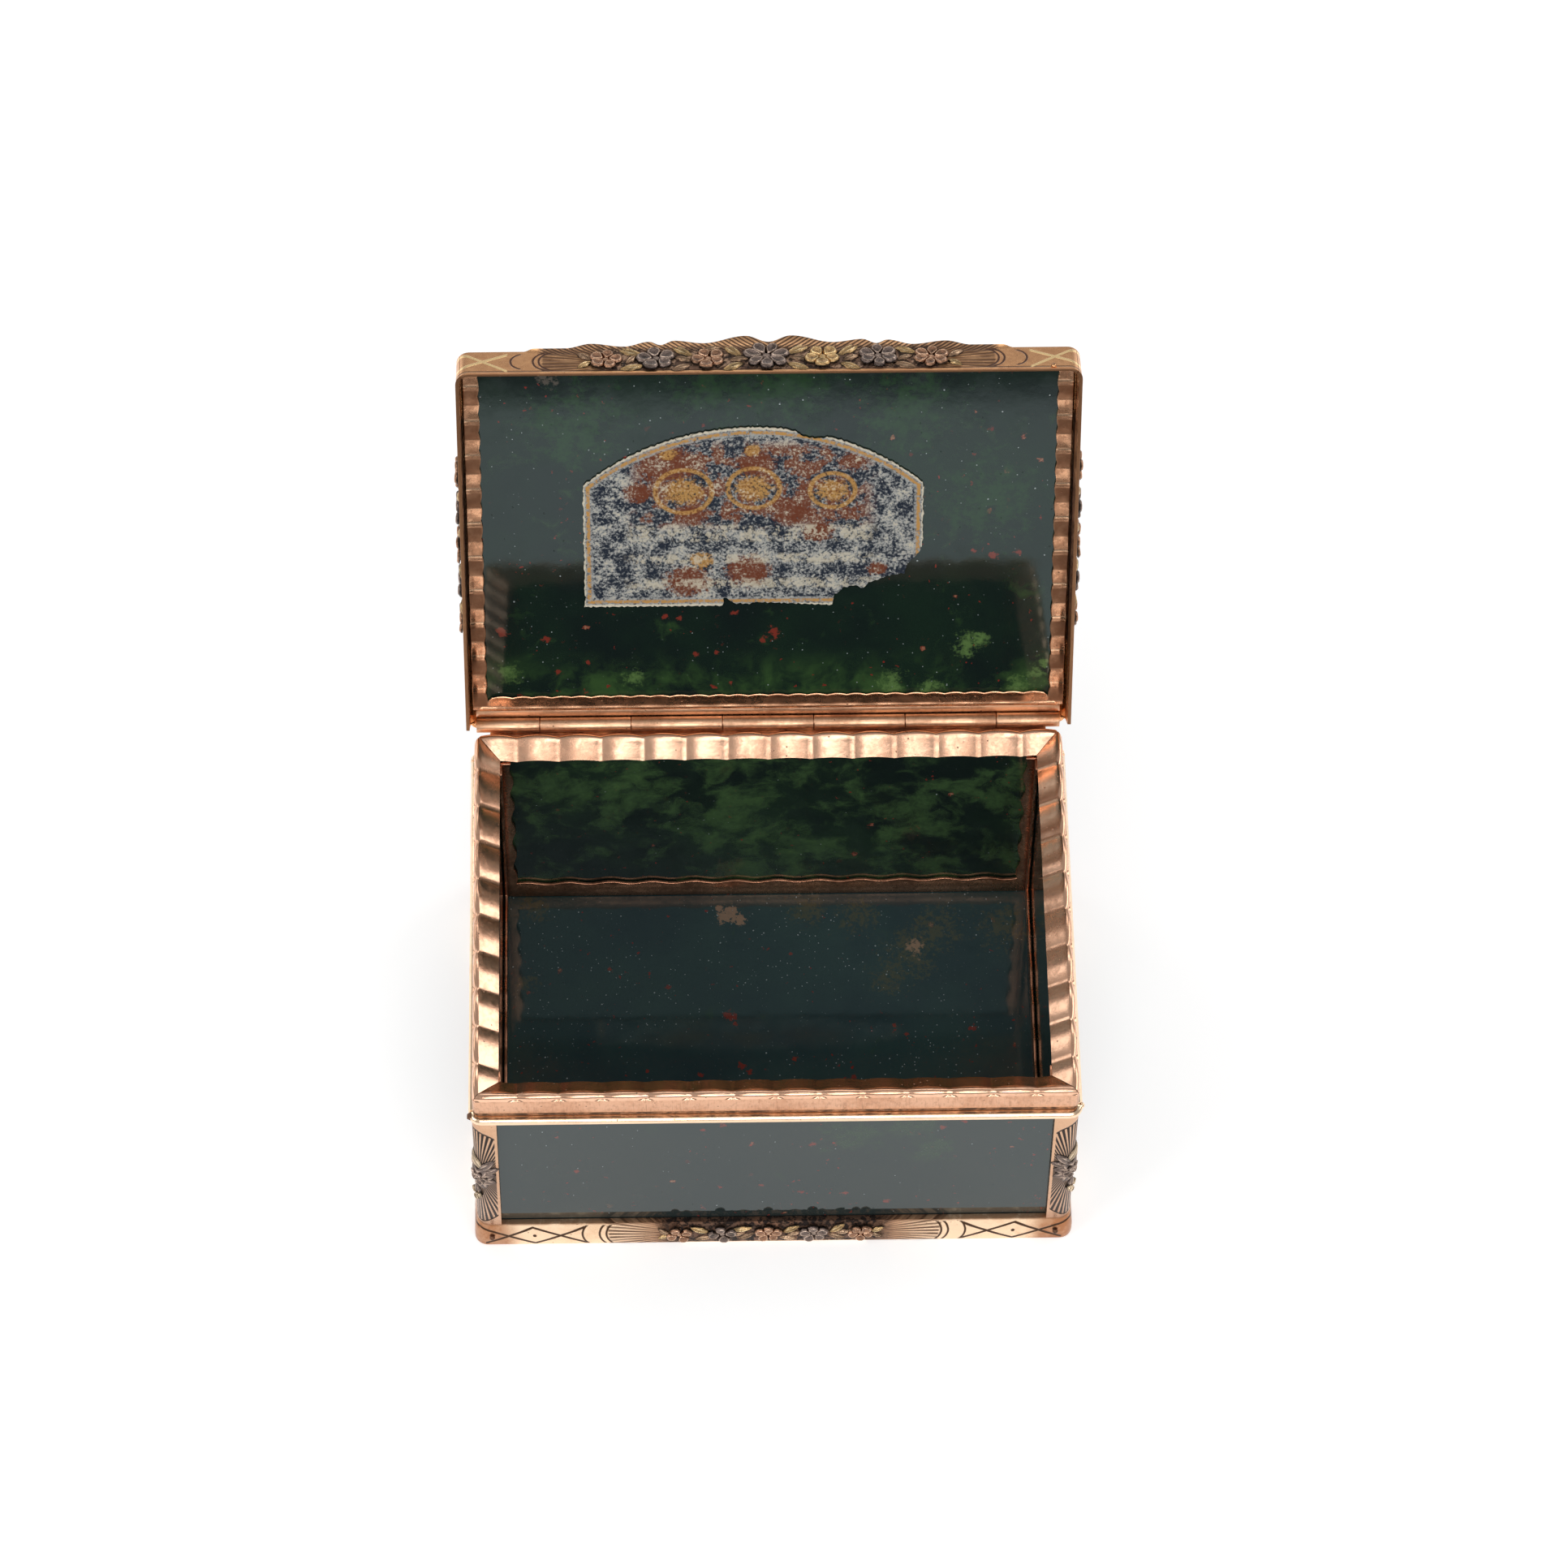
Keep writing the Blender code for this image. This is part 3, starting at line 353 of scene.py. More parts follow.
@dataclass(frozen=True)
class Layer:
    """One thing that chasing, wear or dirt puts on a metal's surface."""

    mask: Wire
    colour: Colour
    roughness: float
    cut: float = 0.0


@dataclass(frozen=True)
class Gold:
    """Worn copper-gold sheet or moulding, plain."""

    name: str
    body: Body
    colour: Colour
    tarnish: Colour
    roughness: float = 0.24
    tarnish_share: float = 0.55
    brush: Point = (1.0, 1.0, 1.0)
    brush_depth: float = 0.25
    dents: float = 0.35

    def layers(self, sheet: NodeSheet, at: Wire) -> list[Layer]:
        """What lies on the plain metal."""
        return []

    def make(self) -> bpy.types.Material:
        """Material of this finish."""
        sheet = NodeSheet(self.name)
        at = sheet.place(self.body)
        broad = sheet.noise(at, 0.16, detail=4.0)
        fine = sheet.noise(at, 1.5, detail=6.0, roughness=0.65)
        strokes = sheet.noise(at, 1.0, detail=5.0, roughness=0.7, stretch=self.brush)
        worn = (broad * 0.5 + fine * 0.3 + strokes * 0.2).rise(0.44, 0.62)
        colour = sheet.blend(worn * self.tarnish_share, self.colour, self.tarnish)
        pits = sheet.specks(at, 1.3, 0.16, 0.18)
        colour = sheet.blend(pits * 0.7, colour, tuple(c * 0.25 for c in self.tarnish))
        roughness = self.roughness + worn * 0.10 + (strokes - 0.5) * 0.16 + pits * 0.2
        height = strokes * self.brush_depth + broad * self.dents - pits * 0.35 + fine * 0.06
        for layer in self.layers(sheet, at):
            colour = sheet.blend(layer.mask, colour, layer.colour)
            roughness = roughness + layer.mask * (layer.roughness - roughness)
            height = height - layer.mask * layer.cut
        sheet.dress(colour, roughness, height, depth=0.08, Metallic=1.0)
        return sheet.material


@dataclass(frozen=True)
class BandGold(Gold):
    """Upright band: brushed, with painted shade and dirt in the groove at its foot."""

    groove: tuple[float, float] = (31.3, 32.2)

    def layers(self, sheet: NodeSheet, at: Wire) -> list[Layer]:
        """Dark groove of painted shade and dirt, and vertical strokes of dirt."""
        _, _, z = sheet.split(at)
        dirt = sheet.noise(at, 0.8, detail=5.0).rise(0.35, 0.6)
        low, high = self.groove
        # Painted shade in the groove at the band's foot, mottled by dirt.
        groove = z.within(low, high, 0.1) * (0.35 + dirt * 0.6)
        strokes = sheet.noise(at, 1.0, detail=3.0, stretch=(7.0, 7.0, 0.35)).rise(0.56, 0.74)
        grain = sheet.noise(at, 1.7, detail=6.0, roughness=0.75, stretch=(1.0, 1.0, 0.5)).rise(0.50, 0.62)
        return [Layer(grain * 0.40, (0.40, 0.20, 0.12), 0.40, 0.1),
                Layer(strokes * 0.45, (0.30, 0.15, 0.09), 0.42, 0.1),
                Layer(groove, (0.07, 0.045, 0.035), 0.5, 0.2)]


@dataclass(frozen=True)
class FlangeGold(Gold):
    """Mouth flange: polished, with painted shade on the slope at the front."""

    front: float = -26.55

    def layers(self, sheet: NodeSheet, at: Wire) -> list[Layer]:
        """Painted shade on the front slope and dirt along the opening."""
        x, y, z = sheet.split(at)
        dirt = sheet.noise(at, 0.6, detail=5.0, roughness=0.7)
        # Painted shade: the front slope is tinted a darker, deeper copper for the dark that it mirrors.
        slope = (y - self.front).rise(3.3, 3.0) * (y - self.front).rise(0.5, 1.0) * abs(x).rise(33.0, 32.5)
        edge = z.rise(34.55, 34.25)
        return [Layer(slope * (0.45 + dirt * 0.3), (0.60, 0.32, 0.20), 0.24),
                Layer(edge * dirt.rise(0.40, 0.65) * 0.3, (0.30, 0.14, 0.08), 0.34)]


@dataclass(frozen=True)
class DiaperGold(Gold):
    """Base mount: engraved lozenges at the ends, hatching, and a dark chased middle."""

    half_x: float = 37.55
    half_y: float = 27.15
    middle: float = 2.35
    crossing: float = 4.35
    pitch: float = 6.5
    slope: float = 0.523
    groove: float = 0.21
    arc_starts: tuple[float, ...] = (13.6, 15.75, 16.6)
    arc_radius: float = 2.8

    def layers(self, sheet: NodeSheet, at: Wire) -> list[Layer]:
        """Lozenge lines and dots, arcs, hatching and the chased ground."""
        x, y, z = sheet.split(at)
        along = (self.half_x - abs(x)) + (self.half_y - abs(y))
        up = abs(z - self.middle)
        turn = ((along - self.crossing) / self.pitch).part()
        gap = turn.least(1 - turn) * (self.pitch * self.slope)
        lozenges = (up - gap).line(self.groove, 0.06) * along.within(1.4, 14.1, 0.05)
        spot = sheet.join((along - self.crossing - self.pitch / 2) * 1.3, z - self.middle, 0.0)
        dot = sheet.vector("LENGTH", spot).rise(0.36, 0.24)
        arcs = sum(self.arc(sheet, along, z, start) for start in self.arc_starts)
        cuts = (lozenges + dot + arcs).least(1.0) * z.rise(0.45, 0.6) * z.rise(4.45, 4.3)
        fan = (z - self.middle) / (29.0 - along) * 12.0
        zone = along.within(16.9, 26.0, 0.15)
        uneven = sheet.noise(sheet.join(fan * 1.7, along * 0.16, 0.0), 1.0, detail=4.0).rise(0.36, 0.56)
        hatch = (fan * 1.35).wave().rise(-0.5, 0.1) * (0.4 + uneven * 0.6) * zone
        shade = along.rise(16.8, 24.0)
        ground = along.rise(22.2, 25.4) * z.rise(0.35, 0.7)
        stipple = sheet.noise(at, 1.6, detail=6.0, roughness=0.7)
        tint = sheet.noise(at, 0.5, detail=3.0).rise(0.4, 0.7)
        dirt = sheet.noise(at, 0.5, detail=5.0, roughness=0.7)
        # Painted shade: the rounded corners are tinted darker brown where they turn from the light, mottled
        # by dirt.
        corner = along.rise(6.4, 3.4) * (0.8 + dirt.rise(0.40, 0.60) * 0.2)
        top = z.rise(4.35, 4.7) * dirt.rise(0.2, 0.5)
        return [Layer((0.15 + shade * 0.65).least(zone), (0.46, 0.22, 0.11), 0.30),
                Layer(corner * 0.95, (0.40, 0.155, 0.062), 0.34),
                Layer(top * 0.8, (0.34, 0.18, 0.10), 0.40),
                Layer(ground, (0.13, 0.078, 0.055), 0.42),
                Layer(ground * tint * 0.6, (0.30, 0.15, 0.09), 0.34),
                Layer(hatch * 0.95, (0.12, 0.06, 0.035), 0.42, 0.5),
                Layer(ground * stipple.rise(0.47, 0.55), (0.03, 0.022, 0.02), 0.5, 0.9),
                Layer(cuts, (0.075, 0.038, 0.02), 0.42, 1.0)]

    def arc(self, sheet: NodeSheet, along: Wire, z: Wire, start: float) -> Wire:
        """Mask of an upright arc that bulges towards the corner at a distance from it."""
        radius = self.arc_radius
        spot = sheet.join(along - (start + radius), z - self.middle, 0.0)
        arc = (sheet.vector("LENGTH", spot) - radius).line(0.13, 0.06)
        return arc * along.rise(start + radius * 0.6, start + radius * 0.4)


@dataclass(frozen=True)
class ChasedGold(Gold):
    """Lid mount: engraved crosses and arches at the corners, hatching, a chased middle."""

    half_x: float = 37.77
    reach: float = 55.1
    side_middle: float = 28.5
    middle: float = -1.9
    rim: float = -4.45
    face_top: float = 0.45
    cross_middle: float = 3.2
    arches: tuple[tuple[float, float], ...] = ((6.6, 1.7), (9.3, 2.0), (10.0, 2.0))

    def layers(self, sheet: NodeSheet, at: Wire) -> list[Layer]:
        """Darker ends, crosses, arches, hatching, chased ground, hatched crest, the bead's groove."""
        x, y, n = sheet.split(at)
        half_side = self.reach - self.side_middle
        along = (self.half_x - abs(x)) + (half_side - abs(y + self.side_middle))
        face = n.rise(self.face_top + 0.25, self.face_top)
        up = n - (self.middle + 0.15)
        beyond = along - self.cross_middle
        crosses = (up - beyond * 0.50).line(0.25, 0.04) + (up + beyond * 0.72).line(0.25, 0.04)
        crosses = crosses.least(1.0) * along.within(0.5, 6.2, 0.1) * face
        arches = sum(self.arch(sheet, along, n, start, radius) for start, radius in self.arches)
        arches = arches.least(1.0) * face
        fan = (n - self.middle + 0.6) / (21.5 - along) * 12.0
        above = n.rise(self.rim + 0.35, self.rim + 0.5)
        zone = along.within(10.4, 17.6, 0.25) * above
        uneven = sheet.noise(sheet.join(fan * 1.1, along * 0.12, 0.0), 1.0, detail=5.0, roughness=0.7)
        rays = (fan * 1.15).wave().rise(-0.4, 0.4) * uneven.rise(0.36, 0.50)
        hatch = ((rays + uneven.rise(0.56, 0.50) * 0.5) * zone).least(1.0)
        edge = n.rise(self.face_top - 1.0, self.face_top - 0.4) * along.rise(9.6, 10.4)
        crest = edge * ((abs(x) - n * 1.6) / 0.75).wave().rise(-0.1, 0.6)
        ground = along.rise(16.4, 18.0) * n.rise(self.face_top + 0.9, self.face_top - 0.3) * above
        strokes = sheet.noise(sheet.join(x - n * 0.5, y, n * 0.35), 1.3, detail=4.0).rise(0.50, 0.60)
        bottom = n.rise(self.rim + 0.10, self.rim + 0.03)
        stipple = sheet.noise(at, 1.5, detail=6.0, roughness=0.7)
        tint = sheet.noise(at, 0.45, detail=3.0).rise(0.42, 0.66)
        shine = sheet.noise(at, 0.9, detail=2.0, stretch=(0.25, 1.0, 2.0)).rise(0.40, 0.62)
        bead = (n - (self.rim + 0.55)).line(0.12, 0.06)
        border = n.rise(self.face_top + 0.7, self.face_top + 1.0)
        flutes = (abs(x) * 0.4).wave() * border
        ends = along.within(0.3, 10.2, 0.2) * face
        return [Layer(ends * (0.35 + stipple * 0.4), (0.56, 0.27, 0.125), 0.26),
                Layer(zone * face * (0.20 + shine * 0.5), (0.30, 0.14, 0.065), 0.32),
                Layer(bottom * 0.9, (0.24, 0.115, 0.06), 0.34),
                Layer(hatch * 0.85, (0.13, 0.065, 0.035), 0.42, 0.6),
                Layer(edge * 0.6, (0.34, 0.19, 0.11), 0.34),
                Layer(ground, (0.17, 0.105, 0.075), 0.38),
                Layer(ground * tint * 0.5, (0.34, 0.18, 0.11), 0.34),
                Layer(ground * strokes * 0.8, (0.60, 0.38, 0.25), 0.26, -0.7),
                Layer(ground * stipple.rise(0.50, 0.58), (0.05, 0.036, 0.03), 0.5, 0.9),
                Layer(crest * 0.85, (0.07, 0.045, 0.035), 0.42, 1.0),
                Layer(flutes * 0.12, (0.35, 0.18, 0.10), 0.3, 0.15),
                Layer(bead * 0.8, (0.12, 0.06, 0.04), 0.4, 0.8),
                Layer(arches, (0.12, 0.06, 0.04), 0.4, 0.9),
                Layer(crosses, (1.0, 0.72, 0.36), 0.22, -0.3)]

    def arch(self, sheet: NodeSheet, along: Wire, n: Wire, start: float, radius: float) -> Wire:
        """Mask of an arch that bulges towards the corner at a distance from it."""
        spot = sheet.join(along - (start + radius), n - (self.middle + 0.1), 0.0)
        arch = (sheet.vector("LENGTH", spot) - radius).line(0.14, 0.07)
        return arch * along.rise(start + radius * 0.9, start + radius * 0.6)


@dataclass(frozen=True)
class FanGold(Gold):
    """Corner pilasters: a fan of engraved rays above and below the applied flower."""

    half_x: float = 37.15
    half_y: float = 26.75
    leg: float = 3.2
    heart: float = 16.6
    reach: float = 11.2
    rays: float = 17.0

    def layers(self, sheet: NodeSheet, at: Wire) -> list[Layer]:
        """Rays between curved border lines."""
        x, y, z = sheet.split(at)
        turn = (self.half_x - abs(x)) - (self.half_y - abs(y))
        along = abs(turn)
        up = z - self.heart
        slant = turn / (abs(up) + 1.5)
        bow = abs(up) + along * along * 0.24
        inside = bow.rise(self.reach + 0.1, self.reach - 0.1) * along.rise(self.leg - 0.32, self.leg - 0.42)
        border = (bow - self.reach).line(0.16, 0.08) * along.rise(self.leg - 0.3, self.leg - 0.4)
        near = sheet.vector("LENGTH", sheet.join(along, up, 0.0)).rise(7.5, 2.5)
        rays = (slant * self.rays + 0.5).wave().rise(-0.35, 0.05) * inside
        return [Layer((1 - inside) * 0.45, (0.56, 0.33, 0.20), 0.28),
                Layer(inside * (0.30 + near * 0.6), (0.26, 0.17, 0.12), 0.34),
                Layer(rays, (0.045, 0.034, 0.030), 0.45, 1.2),
                Layer(border, (0.06, 0.04, 0.03), 0.45, 0.9)]


@dataclass(frozen=True)
class Relief:
    """Chased petals and leaves: dark at the foot from patina and painted shade, coloured in the dish,
    painted highlights on the rims.
    """

    name: str
    body: Body
    foot: Colour
    dish: Colour
    rim: Colour
    roughness: float = 0.13

    def make(self) -> bpy.types.Material:
        """Material of this finish."""
        sheet = NodeSheet(self.name)
        at = sheet.place(self.body)
        crown = sheet.add("ShaderNodeAttribute", {"attribute_name": CROWN}, out="Fac")
        fine = sheet.noise(at, 2.2, detail=5.0, roughness=0.65)
        level = crown + (fine - 0.5) * 0.5
        # Painted shade at the foot and painted highlights on the rims, laid by the crown attribute.
        colour = sheet.blend(level.rise(0.08, 0.36), self.foot, self.dish)
        colour = sheet.blend(level.rise(0.62, 1.02) * 0.7, colour, self.rim)
        patina = sheet.noise(at, 0.7, detail=4.0).rise(0.50, 0.66)
        colour = sheet.blend(patina * (1 - crown * 0.6) * 0.8, colour, self.foot)
        roughness = self.roughness + (1 - crown) * 0.18 + (fine - 0.5) * 0.12
        sheet.dress(colour, roughness, fine + patina * 0.3, depth=0.09, Metallic=1.0)
        return sheet.material


@dataclass(frozen=True)
class Blot:
    """Patch of colour at a place on a stone."""

    centre: Point
    radius: float
    colour: Colour
    ragged: float = 0.6
    soft: float = 0.25


@dataclass(frozen=True)
class Bloodstone:
    """Polished dark green stone with clouds, painted glints, red specks, tan flaws and dust."""

    name: str
    body: Body
    dark: Colour = (0.0085, 0.0155, 0.0150)
    green: Colour = (0.0120, 0.0250, 0.0170)
    cloud: Colour = (0.034, 0.075, 0.024)
    glow: Colour = (0.110, 0.210, 0.070)
    clouds: float = 0.5
    red: float = 0.4
    tan: float = 0.3
    dust: float = 0.2
    tilt: float = 0.0
    lit_end: float = 0.0
    blots: tuple[Blot, ...] = ()

    def make(self) -> bpy.types.Material:
        """Material of this finish."""
        sheet = NodeSheet(self.name)
        at = sheet.place(self.body)
        broad = sheet.noise(at, 0.07, detail=4.0)
        bent = sheet.vector("ADD", at, sheet.vector(
            "MULTIPLY", sheet.noise(at, 0.11, detail=3.0, out="Color"), (9.0, 9.0, 9.0)))
        soft = sheet.noise(bent, 0.17, detail=7.0, roughness=0.62)
        grain = sheet.noise(at, 1.9, detail=5.0, roughness=0.7)
        colour = sheet.blend(broad.rise(0.35, 0.65), self.dark, self.green)
        haze = soft.rise(0.64 - self.clouds * 0.2, 0.86 - self.clouds * 0.2) * (0.45 + grain)
        if self.lit_end:
            lit = sheet.split(at)[1].rise(self.lit_end, self.lit_end + 6.0)
            haze = haze.most(soft.rise(0.40, 0.66) * lit)
        colour = sheet.blend(haze.least(1.0), colour, self.cloud)
        # Painted glints: pale yellow-green where the clouds are thickest.
        colour = sheet.blend(soft.rise(0.74 - self.clouds * 0.1, 0.9) * grain, colour, self.glow)
        colour = self.flaws(sheet, at, grain, colour)
        loose = sheet.noise(at, 0.55, detail=5.0, roughness=0.65, out="Color")
        for blot in self.blots:
            colour = self.patch(sheet, at, loose, grain, colour, blot)
        if self.dust:
            colour = sheet.blend(self.dusting(sheet, at), colour, (0.40, 0.45, 0.46))
        film = sheet.noise(at, 0.35, detail=4.0).rise(0.45, 0.75)
        height = broad * 0.3 + grain * 0.02 - sheet.specks(at, 0.8, 0.10, 0.22) * 0.25
        if self.tilt:
            height = height - sheet.split(at)[1] * (self.tilt / 0.05)
        sheet.dress(colour, 0.05 + film * 0.05, height, depth=0.05, IOR=1.52)
        sheet.feed(sheet.shader.inputs["Specular Tint"], (0.80, 0.96, 0.98))
        return sheet.material

    def flaws(self, sheet: NodeSheet, at: Wire, grain: Wire, colour: Wire) -> Wire:
        """Red specks in loose strings and tan flecks."""
        warp = sheet.vector("ADD", at, sheet.vector(
            "MULTIPLY", sheet.noise(at, 1.1, detail=3.0, out="Color"), (1.5, 1.5, 1.5)))
        string = sheet.noise(at, 0.11, detail=3.0).rise(0.46, 0.58)
        small = sheet.specks(warp, 1.25, 0.25, 0.40 * self.red) * (0.1 + string)
        large = sheet.specks(warp, 0.50, 0.24, 0.10 * self.red)
        red = (small + large).least(1.0) * grain.rise(0.36, 0.50)
        colour = sheet.blend(red, colour, (0.20, 0.022, 0.016))
        flecks = sheet.specks(warp, 0.50, 0.22, 0.10 * self.tan) * grain.rise(0.44, 0.55)
        return sheet.blend(flecks, colour, (0.26, 0.15, 0.09))

    def patch(self, sheet: NodeSheet, at: Wire, loose: Wire, grain: Wire, colour: Wire, blot: Blot) -> Wire:
        """Lay one ragged patch of colour, its outline pulled about by the loose noise."""
        pull = blot.radius * 3.4
        spot = sheet.vector("ADD", at, sheet.vector("MULTIPLY", loose, (pull, pull, pull)))
        centre = tuple(value + pull / 2 for value in blot.centre)
        gap = sheet.vector("DISTANCE", spot, centre) / blot.radius
        share = (gap + (grain - 0.5) * 4.0 * blot.ragged).rise(1.10, 1.0 - blot.soft) * (0.55 + grain * 0.8)
        return sheet.blend(share.least(1.0), colour, blot.colour)

    def dusting(self, sheet: NodeSheet, at: Wire) -> Wire:
        """Mask of pale dust grains, thicker in drifts."""
        drift = sheet.noise(at, 0.07, detail=3.0).rise(0.42, 0.60)
        fine = sheet.specks(at, 1.6, 0.15, 0.60 * self.dust) * (0.12 + drift)
        coarse = sheet.specks(at, 0.70, 0.09, 0.35 * self.dust)
        return (fine + coarse).least(1.0) * 0.8


@dataclass(frozen=True)
class Paper:
    """Old printed paper: pale fibrous edge, double border line, blotched field."""

    name: str
    centre_x: float
    half_width: float
    low: float
    crown: float
    radius: float
    stains: tuple[Point, ...] = (
        (-12.5, 38.4, 3.6), (-9.5, 31.2, 2.0), (-1.5, 38.6, 2.4), (2.8, 31.6, 2.6), (6.1, 28.7, 2.0),
        (-9.9, 21.3, 2.8), (-2.5, 22.8, 2.8), (10.5, 39.0, 1.6), (-16.0, 34.5, 1.8), (13.5, 22.9, 1.2),
    )
    gilt: tuple[Point, ...] = (
        (-10.4, 34.6, 2.4), (-1.8, 35.0, 2.2), (7.9, 34.6, 1.9), (-8.3, 24.4, 1.4), (-12.4, 40.1, 1.1),
        (-2.0, 40.6, 1.0),
    )
    rings: int = 3
    ink: Colour = (0.014, 0.021, 0.036)
    silver: Colour = (0.36, 0.37, 0.36)
    gold: Colour = (0.46, 0.25, 0.075)
    rust_colour: Colour = (0.16, 0.042, 0.016)
    cream: Colour = (0.66, 0.60, 0.47)
    pale: Colour = (0.60, 0.54, 0.41)
    line_gold: Colour = (0.50, 0.27, 0.08)
    rows: tuple[tuple[float, float], ...] = ((28.4, 1.2), (24.6, 0.7), (20.9, 0.7))

    def make(self) -> bpy.types.Material:
        """Material of this finish."""
        sheet = NodeSheet(self.name)
        at = sheet.place(Body.LID)
        x, y, _ = sheet.split(at)
        fibre = sheet.noise(at, 1.8, detail=6.0, roughness=0.75)
        fine = sheet.noise(at, 2.6, detail=6.0, roughness=0.85)
        clumps = sheet.noise(at, 0.42, detail=5.0, roughness=0.65)
        tone = fine + (clumps - 0.5) * 0.55
        colour = sheet.blend(tone.rise(0.47, 0.54), self.ink, self.silver)
        field = (y + 35.5).line(6.0, 1.0) * (x + 2.0).line(14.5, 1.5)
        rust = self.patches(sheet, x, y, fibre, self.stains).most(field * clumps.rise(0.47, 0.53))
        colour = sheet.blend(rust * 0.92, colour, self.rust_colour)
        gilt = self.patches(sheet, x, y, fibre, self.gilt)
        for place, reach, radius in self.gilt[:self.rings]:
            ring = sheet.vector("LENGTH", sheet.join(x - place, (y + reach) * 1.1, 0.0)) - radius * 1.45
            gilt = gilt.most(ring.line(0.30, 0.12))
        colour = sheet.blend(gilt * fine.rise(0.40, 0.50), colour, self.gold)
        worn = tone.rise(0.57, 0.62) * 0.85
        strokes = sheet.noise(at, 1.0, detail=4.0, roughness=0.7, stretch=(1.25, 1.0, 1.0)).rise(0.48, 0.55)
        for middle, half in self.rows:
            row = (y + middle).line(half, 0.25) * (x + 2.2).line(15.0, 1.0)
            worn = worn.most(row * strokes * fibre.rise(0.30, 0.50) * 0.75)
        colour = sheet.blend(worn, colour, self.pale)
        inside = self.depth(sheet, x, y) + (fibre - 0.5) * 0.7
        colour = sheet.blend(inside.rise(1.35, 1.15) * fine.rise(0.40, 0.50) * 0.8, colour, self.silver)
        line = (inside - 0.75).line(0.22, 0.10) * fibre.rise(0.40, 0.50)
        colour = sheet.blend(line, colour, self.line_gold)
        colour = sheet.blend(inside.rise(0.40, 0.22) * fine.rise(0.34, 0.46), colour, self.cream)
        sheet.dress(colour, 0.85 + fibre * 0.1, fine * 0.7 + fibre * 0.5, depth=0.14)
        sheet.feed(sheet.shader.inputs["Specular IOR Level"], 0.25)
        return sheet.material

    def patches(self, sheet: NodeSheet, x: Wire, y: Wire, grain: Wire,
                spots: tuple[Point, ...]) -> Wire:
        """Mask of ragged stains at places on the label."""
        mask: Wire | float = 0.0
        for place, reach, radius in spots:
            gap = sheet.vector("LENGTH", sheet.join(x - place, (y + reach) * 1.25, 0.0)) / radius
            mask = (gap + (grain - 0.5) * 2.6).rise(1.15, 0.75).most(mask)
        return mask

    def depth(self, sheet: NodeSheet, x: Wire, y: Wire) -> Wire:
        """Distance inside the label's untorn outline."""
        side = self.half_width - abs(x - self.centre_x)
        foot = (-1.0 * y) - self.low
        spot = sheet.join(x - self.centre_x, y + (self.crown - self.radius), 0.0)
        head = self.radius - sheet.vector("LENGTH", spot)
        return side.least(foot).least(head)


# Modelling


